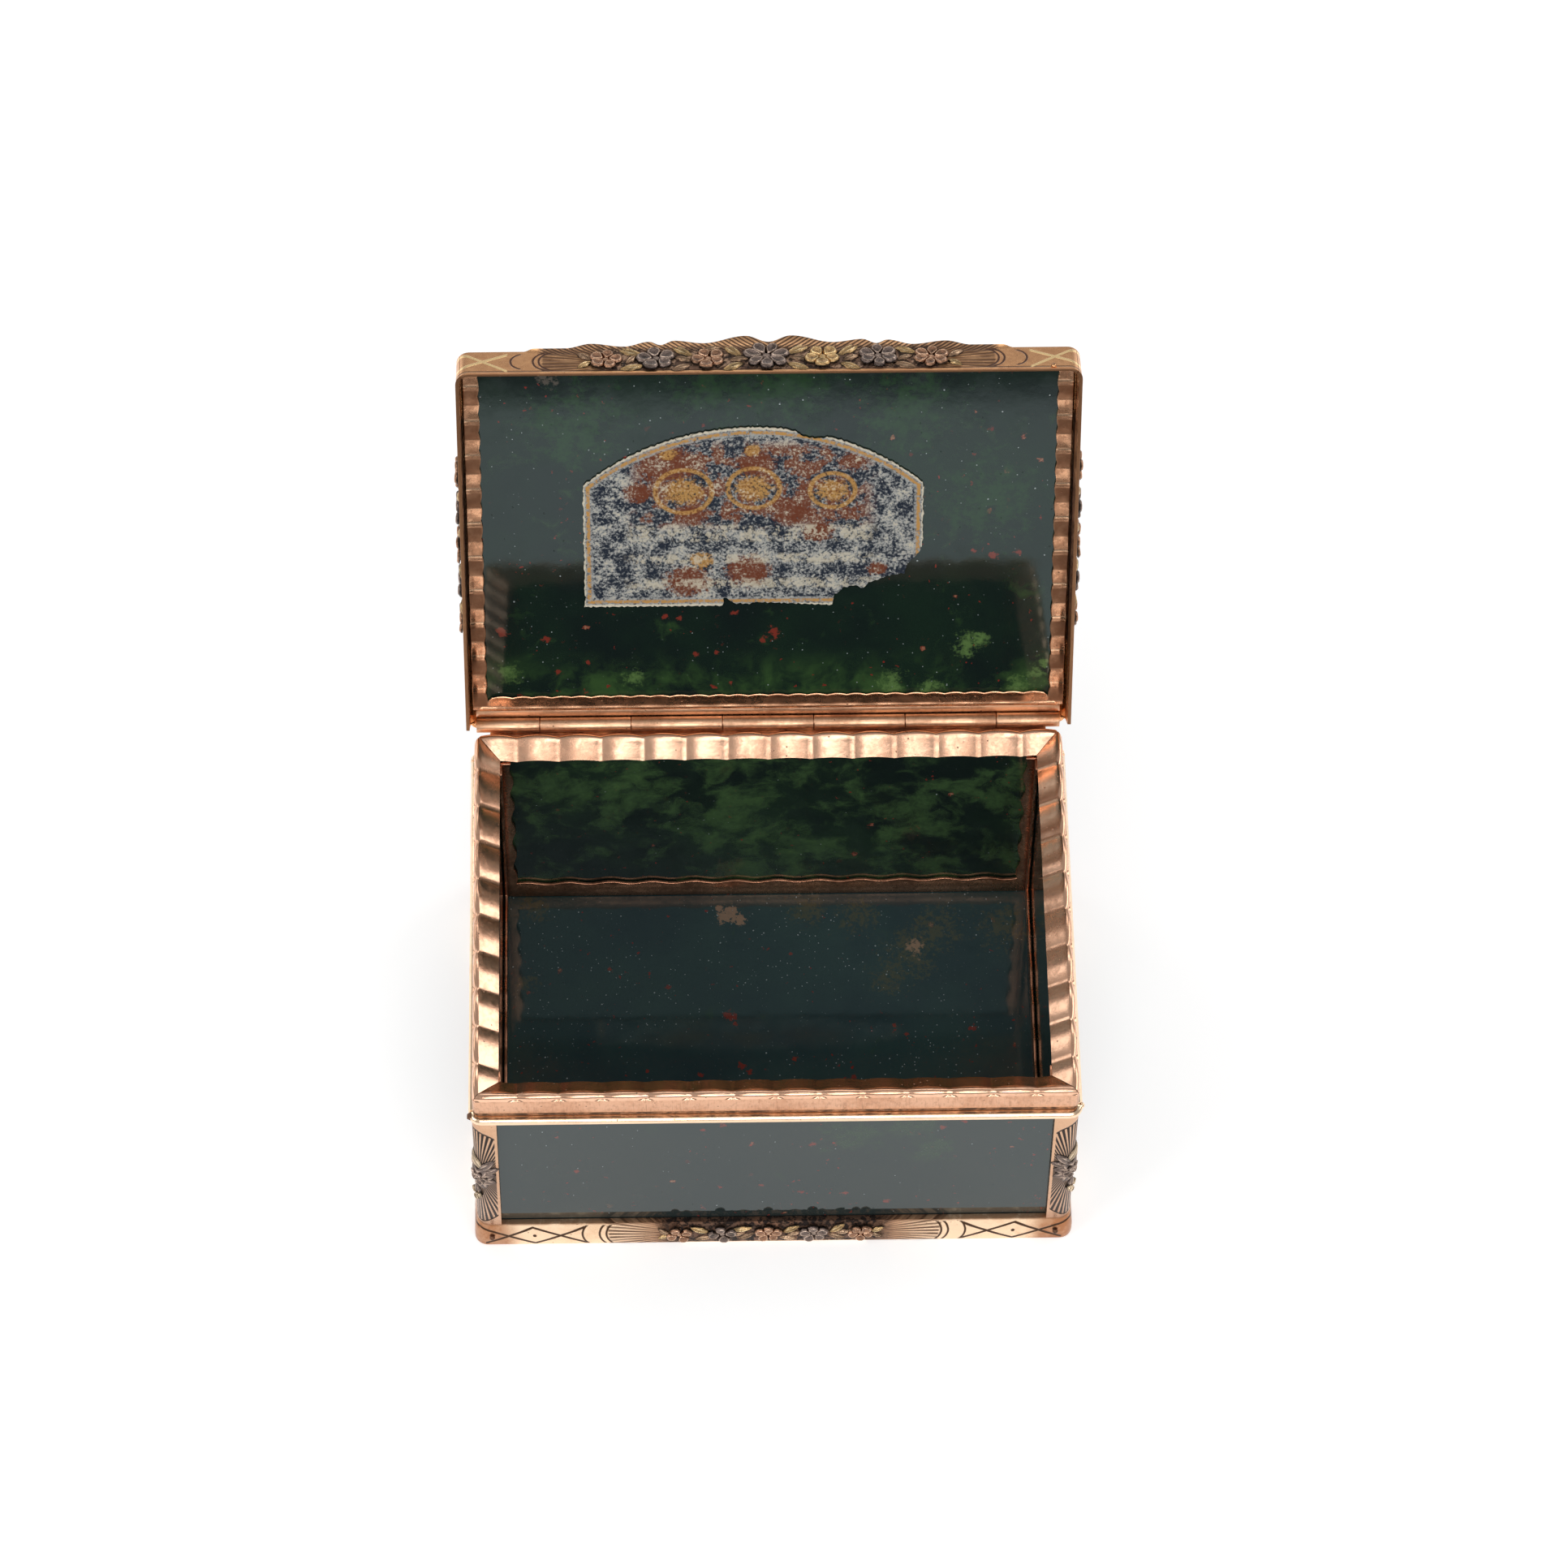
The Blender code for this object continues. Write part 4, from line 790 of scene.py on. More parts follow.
class Bench:
    """Blender's modelling operators worked as by hand, on sizes in millimetres."""

    def clear(self) -> None:
        """Leave edit mode and deselect every object."""
        if bpy.context.mode != "OBJECT":
            bpy.ops.object.mode_set(mode="OBJECT")
        bpy.ops.object.select_all(action="DESELECT")

    def take(self, obj: bpy.types.Object) -> bpy.types.Object:
        """Make one object the only selected and active one."""
        self.clear()
        obj.select_set(True)
        bpy.context.view_layer.objects.active = obj
        return obj

    def box(self, low: Vector | Point, high: Vector | Point) -> bpy.types.Object:
        """Box between two corners."""
        self.clear()
        low, high = Vector(low) * MM, Vector(high) * MM
        bpy.ops.mesh.primitive_cube_add(size=1.0, location=(low + high) / 2, scale=high - low)
        return self.settle(bpy.context.object)

    def ball(self, centre: Point, radius: float, squash: float = 1.0, sides: int = 12) -> bpy.types.Object:
        """Ball, drawn in along Z by a share."""
        self.clear()
        bpy.ops.mesh.primitive_uv_sphere_add(segments=sides, ring_count=sides // 2 + 1, radius=radius * MM,
                                             location=Vector(centre) * MM, scale=(1.0, 1.0, squash))
        return self.settle(bpy.context.object)

    def sheet(self, columns: int, rows: int, shape: Callable[[int, int], Point]) -> bpy.types.Object:
        """Metal sheet: a grid whose every crossing is laid to a shape.

        Args:
            columns: faces along the sheet.
            rows: faces across the sheet.
            shape: gives the point of a crossing from its column and row.

        Returns:
            The sheet, its doubled crossings merged and its faces outward.
        """
        self.clear()
        bpy.ops.mesh.primitive_grid_add(x_subdivisions=columns, y_subdivisions=rows, size=2.0)
        obj = bpy.context.object
        for vertex in obj.data.vertices:
            i = round((vertex.co.x + 1) / 2 * columns)
            j = round((vertex.co.y + 1) / 2 * rows)
            vertex.co = Vector(shape(i, j)) * MM
        return self.heal(obj)

    def copy_of(self, node: str) -> bpy.types.Object:
        """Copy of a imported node's mesh, merged into clean faces, in its body's own axes."""
        source = frame["nodes"][node]
        obj = bpy.data.objects.new(node + "_copy", source.data.copy())
        bpy.context.scene.collection.objects.link(obj)
        obj.data.transform(Body(source["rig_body"]).place.inverted())
        obj.data.materials.clear()
        with self.edit(obj):
            bpy.ops.mesh.select_all(action="SELECT")
            bpy.ops.mesh.remove_doubles(threshold=0.002 * MM)
            bpy.ops.mesh.dissolve_limited(angle_limit=math.radians(0.5))
        return obj

    def settle(self, obj: bpy.types.Object) -> bpy.types.Object:
        """Write an object's place into its mesh."""
        self.take(obj)
        bpy.ops.object.transform_apply(location=True, rotation=True, scale=True)
        return obj

    @contextmanager
    def edit(self, obj: bpy.types.Object) -> Iterator[None]:
        """Work on an object in edit mode, with nothing selected at the start."""
        self.take(obj)
        bpy.ops.object.mode_set(mode="EDIT")
        bpy.ops.mesh.select_all(action="DESELECT")
        yield
        bpy.ops.object.mode_set(mode="OBJECT")

    def pick(self, kind: str, rule: Callable[[Vector, Vector], bool]) -> None:
        """Select faces, edges or vertices by place.

        Args:
            kind: FACE, EDGE or VERT.
            rule: takes the middle in millimetres and the normal, or an edge's direction.
        """
        bpy.ops.mesh.select_mode(type=kind)
        bpy.ops.mesh.select_all(action="DESELECT")
        mesh = bpy.context.object.data
        bm = bmesh.from_edit_mesh(mesh)
        if kind == "FACE":
            parts = [(face, face.calc_center_median(), face.normal) for face in bm.faces]
        elif kind == "EDGE":
            parts = [(edge, (edge.verts[0].co + edge.verts[1].co) / 2,
                      (edge.verts[1].co - edge.verts[0].co).normalized()) for edge in bm.edges]
        else:
            parts = [(vertex, vertex.co, vertex.normal) for vertex in bm.verts]
        for part, middle, way in parts:
            if rule(middle / MM, way):
                part.select_set(True)
        bm.select_flush_mode()
        bmesh.update_edit_mesh(mesh, loop_triangles=False, destructive=False)

    def bevel(self, width: float, segments: int = 2) -> None:
        """Round the selected edges."""
        bpy.ops.mesh.bevel(offset=width * MM, segments=segments, profile=0.5, clamp_overlap=True)

    def slice(self, point: Vector | Point, normal: Vector | Point) -> None:
        """Cut everything by a plane, drop what lies beyond it and close the cut."""
        bpy.ops.mesh.select_mode(type="FACE")
        bpy.ops.mesh.select_all(action="SELECT")
        bpy.ops.mesh.bisect(plane_co=Vector(point) * MM, plane_no=Vector(normal), use_fill=True,
                            clear_outer=True, threshold=1e-7)

    def finish_with(self, obj: bpy.types.Object, kind: str, **settings: object) -> bpy.types.Object:
        """Add a modifier with its settings and apply it."""
        self.take(obj)
        modifier = obj.modifiers.new(kind.lower(), kind)
        for name, value in settings.items():
            setattr(modifier, name, value)
        bpy.ops.object.modifier_apply(modifier=modifier.name)
        return obj

    def soften(self, obj: bpy.types.Object, width: float, segments: int = 2) -> bpy.types.Object:
        """Round every sharp edge of a piece."""
        return self.finish_with(obj, "BEVEL", width=width * MM, segments=segments,
                                limit_method="ANGLE", angle_limit=SMOOTH_ANGLE)

    def cut(self, obj: bpy.types.Object, cutter: bpy.types.Object) -> bpy.types.Object:
        """Take one solid out of another."""
        self.finish_with(obj, "BOOLEAN", operation="DIFFERENCE", solver="EXACT", object=cutter)
        bpy.data.objects.remove(cutter, do_unlink=True)
        return obj

    def heal(self, obj: bpy.types.Object) -> bpy.types.Object:
        """Merge doubled vertices and turn the faces outward."""
        with self.edit(obj):
            bpy.ops.mesh.select_all(action="SELECT")
            bpy.ops.mesh.remove_doubles(threshold=0.001 * MM)
            bpy.ops.mesh.normals_make_consistent(inside=False)
        return obj

    def again(self, obj: bpy.types.Object, matrix: Matrix) -> bpy.types.Object:
        """Copy a piece with its own mesh, laid by a matrix in millimetres."""
        made = bpy.data.objects.new(obj.name, obj.data.copy())
        bpy.context.scene.collection.objects.link(made)
        scale = Matrix.Scale(MM, 4)
        made.data.transform(scale @ matrix @ scale.inverted())
        if matrix.determinant() < 0:
            made.data.flip_normals()
        return made

    def join(self, pieces: list[bpy.types.Object]) -> bpy.types.Object:
        """Join pieces into the first."""
        self.clear()
        for piece in pieces:
            piece.select_set(True)
        bpy.context.view_layer.objects.active = pieces[0]
        if len(pieces) > 1:
            bpy.ops.object.join()
        return pieces[0]

    def deliver(self, obj: bpy.types.Object, name: str, body: Body, slot: str,
                material: bpy.types.Material | None, *nodes: str) -> bpy.types.Object:
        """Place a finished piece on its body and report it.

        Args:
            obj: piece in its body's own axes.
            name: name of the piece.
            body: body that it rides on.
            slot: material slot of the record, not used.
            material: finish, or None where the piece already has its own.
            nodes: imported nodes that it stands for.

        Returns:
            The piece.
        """
        obj.matrix_world = body.place
        self.settle(obj)
        bpy.ops.object.shade_smooth_by_angle(angle=SMOOTH_ANGLE)
        obj.name = name
        obj.data.name = name
        if material is not None:
            obj.data.materials.clear()
            obj.data.materials.append(material)
        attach(obj, body.value)
        if nodes:
            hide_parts(*nodes)
        log.info("%s: %d faces, stands for %s", name, len(obj.data.polygons), ", ".join(nodes) or "no node")
        return obj


BENCH = Bench()


def paint_node(node: str, material: bpy.types.Material) -> None:
    """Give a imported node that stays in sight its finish."""
    obj = frame["nodes"][node]
    obj.data.materials.clear()
    obj.data.materials.append(material)
    log.info("%s: packed node, finished in %s", node, material.name)


# Colours of the metals

PALE_GOLD: Colour = (1.0, 0.74, 0.51)
PALE_TARNISH: Colour = (0.74, 0.40, 0.20)
COPPER_TARNISH: Colour = (0.56, 0.27, 0.15)
BROWN_TARNISH: Colour = (0.20, 0.10, 0.06)


class Tone(Enum):
    """Colours of the chased flowers and leaves, as foot, dish and rim."""

    ROSE = ((0.04, 0.028, 0.02), (0.34, 0.18, 0.11), (0.92, 0.62, 0.42))
    GREY = ((0.03, 0.024, 0.022), (0.19, 0.14, 0.12), (0.74, 0.56, 0.44))
    YELLOW = ((0.05, 0.035, 0.02), (0.56, 0.35, 0.16), (1.0, 0.78, 0.42))
    LEAF = ((0.045, 0.034, 0.022), (0.44, 0.28, 0.13), (1.0, 0.79, 0.48))
    BRONZE = ((0.035, 0.025, 0.02), (0.26, 0.16, 0.10), (0.82, 0.58, 0.38))
    SAGE = ((0.045, 0.036, 0.028), (0.40, 0.30, 0.20), (0.98, 0.78, 0.56))

    def finish(self, body: Body) -> bpy.types.Material:
        """Material of this tone on a body."""
        foot, dish, rim = self.value
        return material_of(Relief(f"{self.name.lower()}_relief_{body.value}", body, foot, dish, rim))


# Chased flowers and leaves


@dataclass(frozen=True)
class Bloom:
    """One flower of a spray, at a place on its face."""

    along: float
    up: float
    radius: float
    tone: Tone
    petals: int = 5
    turn: float = 0.3


@dataclass(frozen=True)
class Frond:
    """One leaf of a spray, from its middle."""

    along: float
    up: float
    length: float
    width: float
    tilt: float
    tone: Tone = Tone.LEAF


@dataclass
class Chaser:
    """Models petals, buttons and leaves once and sets copies of them on the faces."""

    petal_sides: int = 10
    petal_width: float = 0.82
    petal_root: float = 0.45
    petal_swell: float = 0.6
    petal_lifts: tuple[tuple[float, float], ...] = ((0.55, 0.94), (0.45, 0.80))
    petal_dish: tuple[tuple[float, float], ...] = ((0.10, -0.22), (0.14, -0.20))
    leaf_columns: int = 6
    relief: float = 0.40
    masters: dict[str, bpy.types.Object] = field(default_factory=dict)

    def petal(self) -> bpy.types.Object:
        """Dished petal of unit length along X with a raised rim."""
        BENCH.clear()
        bpy.ops.mesh.primitive_circle_add(vertices=self.petal_sides, radius=0.5 * MM, fill_type="NGON",
                                          location=(0.5 * MM, 0.0, 0.0), scale=(1.0, self.petal_width, 1.0))
        obj = BENCH.settle(bpy.context.object)
        for vertex in obj.data.vertices:
            swell = min(vertex.co.x / MM / self.petal_swell, 1.0)
            vertex.co.y *= self.petal_root + (1 - self.petal_root) * swell
        with BENCH.edit(obj):
            bpy.ops.mesh.select_mode(type="FACE")
            bpy.ops.mesh.select_all(action="SELECT")
            for lift, share in self.petal_lifts:
                bpy.ops.mesh.extrude_region_move(TRANSFORM_OT_translate={"value": (0.0, 0.0, lift * MM)})
                bpy.ops.transform.resize(value=(share, share, 1.0))
            for thickness, depth in self.petal_dish:
                bpy.ops.mesh.inset(thickness=thickness * MM, depth=depth * MM)
        return self.crown(BENCH.heal(obj), {0.0: 0.0, 0.55: 0.35, 1.0: 1.0, 0.78: 0.50, 0.58: 0.32})

    def button(self) -> bpy.types.Object:
        """Small domed heart of a flower."""
        obj = BENCH.ball((0.0, 0.0, 0.3), 1.0, 0.8, sides=8)
        with BENCH.edit(obj):
            BENCH.slice((0.0, 0.0, 0.0), (0.0, 0.0, -1.0))
        return self.crown(obj, {0.0: 0.1, 0.7: 0.5, 1.1: 0.8})

    def leaf(self) -> bpy.types.Object:
        """Pointed leaf of unit length along X, of two lobes with a groove between."""
        ring = ((-1.0, 0.0), (-0.85, 0.55), (-0.45, 1.0), (-0.05, 0.42), (0.05, 0.42), (0.5, 0.9),
                (0.85, 0.5), (1.0, 0.0), (-1.0, 0.0))
        columns = self.leaf_columns

        def shape(i: int, j: int) -> Point:
            """Crossing of the leaf's sheet."""
            share = i / columns
            width = math.sin(math.pi * share) ** 0.75 if 0 < i < columns else 0.0
            across, height = ring[j]
            return share - 0.5, across * width / 2, height * width

        obj = BENCH.sheet(columns, len(ring) - 1, shape)
        return self.crown(obj, {0.0: 0.0, 0.4: 0.25, 0.6: 0.7, 1.0: 1.0})

    def crown(self, obj: bpy.types.Object, levels: dict[float, float]) -> bpy.types.Object:
        """Write the crown attribute from each vertex's height.

        Args:
            obj: master shape.
            levels: crown value at the nearest of these heights.

        Returns:
            The same object.
        """
        attribute = obj.data.attributes.new(CROWN, "FLOAT", "POINT")
        for vertex, value in zip(obj.data.vertices, attribute.data):
            nearest = min(levels, key=lambda level: abs(level - vertex.co.z / MM))
            value.value = levels[nearest]
        return obj

    def master(self, name: str) -> bpy.types.Object:
        """Master shape of that name, modelled the first time it is asked for."""
        if name not in self.masters:
            self.masters[name] = getattr(self, name)()
        return self.masters[name]

    def set(self, name: str, tone: Tone, body: Body, matrix: Matrix) -> bpy.types.Object:
        """Copy of a master in a tone, laid on a face."""
        piece = BENCH.again(self.master(name), matrix)
        piece.data.materials.append(tone.finish(body))
        return piece

    def spray(self, motifs: list[Bloom | Frond], body: Body, face: Matrix) -> bpy.types.Object:
        """Flowers and leaves of one spray as one piece.

        Args:
            motifs: flowers and leaves, placed along and up the face.
            body: body that carries them.
            face: matrix from along, up and outward to the body's own axes.

        Returns:
            The joined piece.
        """
        pieces = []
        for motif in motifs:
            spot = face @ Matrix.Translation((motif.along, motif.up, 0.0))
            if isinstance(motif, Frond):
                shape = Matrix.Diagonal((motif.length, motif.width, self.relief * 0.85, 1.0))
                turn = Matrix.Rotation(motif.tilt, 4, "Z")
                pieces.append(self.set("leaf", motif.tone, body, spot @ turn @ shape))
                continue
            length = motif.radius * 0.92
            width = min(1.05, 5.2 / motif.petals) * length
            for k in range(motif.petals):
                turn = Matrix.Rotation(motif.turn + 2 * math.pi * k / motif.petals, 4, "Z")
                tip = Matrix.Rotation(-0.08 - 0.07 * (k % 2), 4, "Y")
                away = Matrix.Translation((motif.radius * 0.15, 0.0, -0.03 * (k % 2)))
                size = 1.0 - 0.10 * (k % 3 == 1)
                shape = Matrix.Diagonal((length * size, width * size, self.relief, 1.0))
                pieces.append(self.set("petal", motif.tone, body, spot @ turn @ away @ tip @ shape))
            size = motif.radius * 0.22
            shape = Matrix.Diagonal((size, size, self.relief * 0.9, 1.0))
            pieces.append(self.set("button", motif.tone, body, spot @ shape))
        return BENCH.join(pieces)

    def tidy_up(self) -> None:
        """Remove the masters."""
        for obj in self.masters.values():
            bpy.data.objects.remove(obj, do_unlink=True)
        self.masters.clear()


CHASER = Chaser()


def face_frame(side: Side, distance: float, height: float, along: float = 0.0) -> Matrix:
    """Matrix from along, up and outward on a side's face to the body's axes, in millimetres."""
    upright = Matrix.Rotation(math.pi / 2, 4, "X")
    middle = Matrix.Translation((0.0, along, 0.0))
    outward = Matrix.Translation((0.0, -distance, height))
    return middle @ Matrix.Rotation(side.turn, 4, "Z") @ outward @ upright


def corner_drop(beyond: float, radius: float) -> float:
    """How far a rounded corner falls back at a distance past where it starts."""
    if beyond <= 0 or radius <= 0:
        return 0.0
    share = min(beyond / radius, 1.0)
    return radius * (1 - math.sqrt(1 - share * share))


# Case


@dataclass
class BaseMount:
    """Rounded and engraved frame at the foot, its sprays and corner pins."""

    corner: float = 1.6
    shelf: float = 2.9
    backing: float = 1.15
    top: float = 4.7
    lean: float = 0.42
    lower_edge: float = 0.5
    upper_edge: float = 0.10
    lean_steps: tuple[tuple[float, float], ...] = ((0.35, 0.0), (0.7, 0.35), (1.0, 1.0))
    spray_height: float = 2.45
    spray_sunk: float = 0.12
    pin_radius: float = 0.36
    blooms: tuple[Bloom, ...] = (
        Bloom(-11.9, 0.0, 1.7, Tone.ROSE, 4, 0.5), Bloom(-6.5, 0.05, 1.8, Tone.GREY, 4, 0.2),
        Bloom(-0.7, 0.05, 1.75, Tone.ROSE, 5, 0.3), Bloom(5.0, 0.0, 1.85, Tone.GREY, 5, 0.4),
        Bloom(10.9, 0.05, 1.7, Tone.ROSE, 5, 0.9),
    )
    fronds: tuple[Frond, ...] = (
        Frond(-9.3, 0.85, 2.8, 1.2, -0.45), Frond(-8.9, -1.05, 2.8, 1.0, 0.30, Tone.BRONZE),
        Frond(-4.0, 1.05, 2.8, 1.0, 0.20), Frond(-3.5, -0.7, 2.8, 1.0, 0.60, Tone.BRONZE),
        Frond(-4.6, -0.1, 2.4, 0.7, 0.35, Tone.BRONZE), Frond(2.1, 0.85, 2.9, 1.1, 0.60),
        Frond(1.8, -1.15, 2.8, 1.0, -0.15, Tone.BRONZE), Frond(2.5, -0.1, 2.2, 0.7, 0.4, Tone.BRONZE),
        Frond(7.9, 0.95, 3.0, 1.1, 0.80), Frond(7.9, -0.95, 2.8, 1.1, -0.45, Tone.BRONZE),
        Frond(8.7, 0.2, 2.6, 0.8, 0.2, Tone.BRONZE), Frond(-13.8, 0.5, 2.2, 0.9, 2.4, Tone.BRONZE),
        Frond(-13.9, -0.7, 2.0, 0.8, -2.6), Frond(12.9, 0.6, 2.2, 0.9, 0.5),
        Frond(12.9, -0.7, 2.2, 0.8, -0.5, Tone.BRONZE),
    )

    def build(self) -> None:
        """Model and dress the mount, its sprays and its pins."""
        low, high = Body.CASE.extent("base_mount")
        finish = DiaperGold("engraved_base_gold", Body.CASE, PALE_GOLD, PALE_TARNISH, roughness=0.20,
                            tarnish_share=0.35, half_x=high.x, half_y=high.y)
        ring = self.ring(low, high)
        BENCH.deliver(ring, "base_mount_chased", Body.CASE, "base_gold", material_of(finish), "base_mount")
        for side in Side:
            distance = high.y if side.is_long else high.x
            face = face_frame(side, distance - self.spray_sunk, self.spray_height)
            spray = CHASER.spray([*self.blooms, *self.fronds], Body.CASE, face)
            BENCH.deliver(spray, f"base_spray_{side.label}_chased", Body.CASE, "relief_gold", None,
                          f"base_spray_{side.label}")
        self.pins()

    def ring(self, low: Vector, high: Vector) -> bpy.types.Object:
        """Frame with rounded corners and a stepped opening."""
        obj = BENCH.box(low, (high.x, high.y, self.top))
        floor_top = Body.CASE.extent("base_stone")[1].z
        with BENCH.edit(obj):
            BENCH.pick("EDGE", lambda middle, way: abs(way.z) > 0.9)
            BENCH.bevel(self.corner, 10)
            for level, share in self.lean_steps:
                height = self.top * level
                bpy.ops.mesh.select_all(action="SELECT")
                bpy.ops.mesh.bisect(plane_co=(0.0, 0.0, height * MM), plane_no=(0.0, 0.0, 1.0))
                BENCH.pick("VERT", lambda middle, way: abs(middle.z - height) < 0.01)
                inset = self.lean * share
                bpy.ops.transform.resize(value=(1 - inset / high.x, 1 - inset / high.y, 1.0),
                                         center_override=(0.0, 0.0, height * MM))
            BENCH.pick("FACE", lambda middle, way: way.z < -0.9)
            bpy.ops.mesh.region_to_loop()
            BENCH.bevel(self.lower_edge, 5)
            BENCH.pick("FACE", lambda middle, way: way.z > 0.9)
            bpy.ops.mesh.region_to_loop()
            BENCH.bevel(self.upper_edge, 2)
        opening = BENCH.box((low.x + self.shelf, low.y + self.shelf, -1.0),
                            (high.x - self.shelf, high.y - self.shelf, high.z + 1.0))
        step = BENCH.box((low.x + self.backing, low.y + self.backing, floor_top),
                         (high.x - self.backing, high.y - self.backing, high.z + 1.0))
        BENCH.cut(obj, opening)
        return BENCH.cut(obj, step)

    def pins(self) -> None:
        """Domed heads of the corner pins."""
        finish = material_of(Gold("pin_gold", Body.CASE, BROWN_TARNISH, (0.06, 0.04, 0.03), roughness=0.4))
        for corner, _, sy in CORNERS:
            node = "corner_pin_" + corner
            low, high = Body.CASE.extent(node)
            middle = (low + high) / 2
            middle.y = low.y if sy > 0 else high.y
            pin = BENCH.ball(tuple(middle), self.pin_radius)
            with BENCH.edit(pin):
                BENCH.slice(middle, (0.0, -sy, 0.0))
            BENCH.deliver(pin, node + "_domed", Body.CASE, "base_gold", finish, node)


@dataclass
class Pilasters:
    """Angle pilasters with their applied flowers."""

    corner: float = 1.6
    leg: float = 3.05
    thickness: float = 0.75
    foot: float = 4.72
    flower_height: float = 16.4
    edge: float = 0.08
    star: int = 8

    def build(self) -> None:
        """Model and dress the four pilasters."""
        right = Body.CASE.extent("corner_pilaster_front_right")[1]
        depth = Body.CASE.extent("corner_pilaster_back_right")[1]
        finish = material_of(FanGold("fan_gold", Body.CASE, (0.80, 0.50, 0.32), COPPER_TARNISH,
                                     tarnish_share=0.5, half_x=right.x, half_y=depth.y, leg=self.leg))
        for corner, sx, sy in CORNERS:
            node = "corner_pilaster_" + corner
            head = Body.CASE.extent(node)[1].z
            obj = self.angle(sx * right.x, sy * depth.y, sx, sy, self.foot, head)
            BENCH.deliver(obj, node + "_chased", Body.CASE, "pilaster_gold", finish, node)
            flower = self.bouquet(sx, sy, right.x - self.corner, depth.y - self.corner)
            node = "pilaster_flower_" + corner
            BENCH.deliver(flower, node + "_chased", Body.CASE, "relief_gold", None, node)

    def angle(self, x: float, y: float, sx: int, sy: int, foot: float, head: float) -> bpy.types.Object:
        """Angle piece whose outer corner is rounded."""
        inner_x, inner_y = x - sx * self.leg, y - sy * self.leg
        low = (min(x, inner_x), min(y, inner_y), foot)
        high = (max(x, inner_x), max(y, inner_y), head)
        obj = BENCH.box(low, high)
        with BENCH.edit(obj):
            BENCH.pick("EDGE", lambda middle, way: abs(way.z) > 0.9 and abs(middle.x - x) < 0.01
                       and abs(middle.y - y) < 0.01)
            BENCH.bevel(self.corner, 10)
        behind_x, behind_y = x - sx * self.thickness, y - sy * self.thickness
        far_x, far_y = inner_x - sx, inner_y - sy
        cutter = BENCH.box((min(behind_x, far_x), min(behind_y, far_y), foot - 1.0),
                           (max(behind_x, far_x), max(behind_y, far_y), head + 1.0))
        BENCH.cut(obj, cutter)
        return BENCH.soften(obj, self.edge)

    def bouquet(self, sx: int, sy: int, centre_x: float, centre_y: float) -> bpy.types.Object:
        """Flower, leaf and bud, bent round the corner."""
        motifs = [Frond(1.25 * math.cos(angle), 1.35 * math.sin(angle), 2.7, 1.65, angle, Tone.GREY)
                  for angle in (0.4 + 2 * math.pi * k / self.star for k in range(self.star))]
        motifs += [Bloom(0.0, 0.0, 1.25, Tone.GREY, 5, 0.5), Frond(0.3, 3.7, 3.8, 1.7, 1.0, Tone.SAGE),
                   Frond(-1.2, 3.2, 3.2, 1.4, 2.2, Tone.GREY), Frond(1.1, 2.5, 2.4, 1.3, 0.8, Tone.GREY),
                   Frond(-1.7, 2.0, 2.4, 1.2, 2.7, Tone.GREY), Frond(0.2, -3.3, 2.8, 1.0, 1.5, Tone.GREY),
                   Bloom(0.3, -4.5, 1.0, Tone.SAGE, 3, 0.5)]
        obj = CHASER.spray(motifs, Body.CASE, Matrix.Identity(4))
        arc = self.corner * math.pi / 4

        def bend(point: Vector) -> Vector:
            """Lay a flat point round the rounded corner."""
            along, up, out = point / MM
            angle = max(min(along / self.corner, math.pi / 4), -math.pi / 4)
            rest = along - max(min(along, arc), -arc)
            turn = angle + math.pi / 4
            ring = self.corner + out
            x = centre_x + ring * math.sin(turn) + rest * math.cos(turn)
            y = centre_y + ring * math.cos(turn) - rest * math.sin(turn)
            return Vector((sx * x, sy * y, self.flower_height + up)) * MM

        for vertex in obj.data.vertices:
            vertex.co = bend(vertex.co)
        return BENCH.heal(obj)


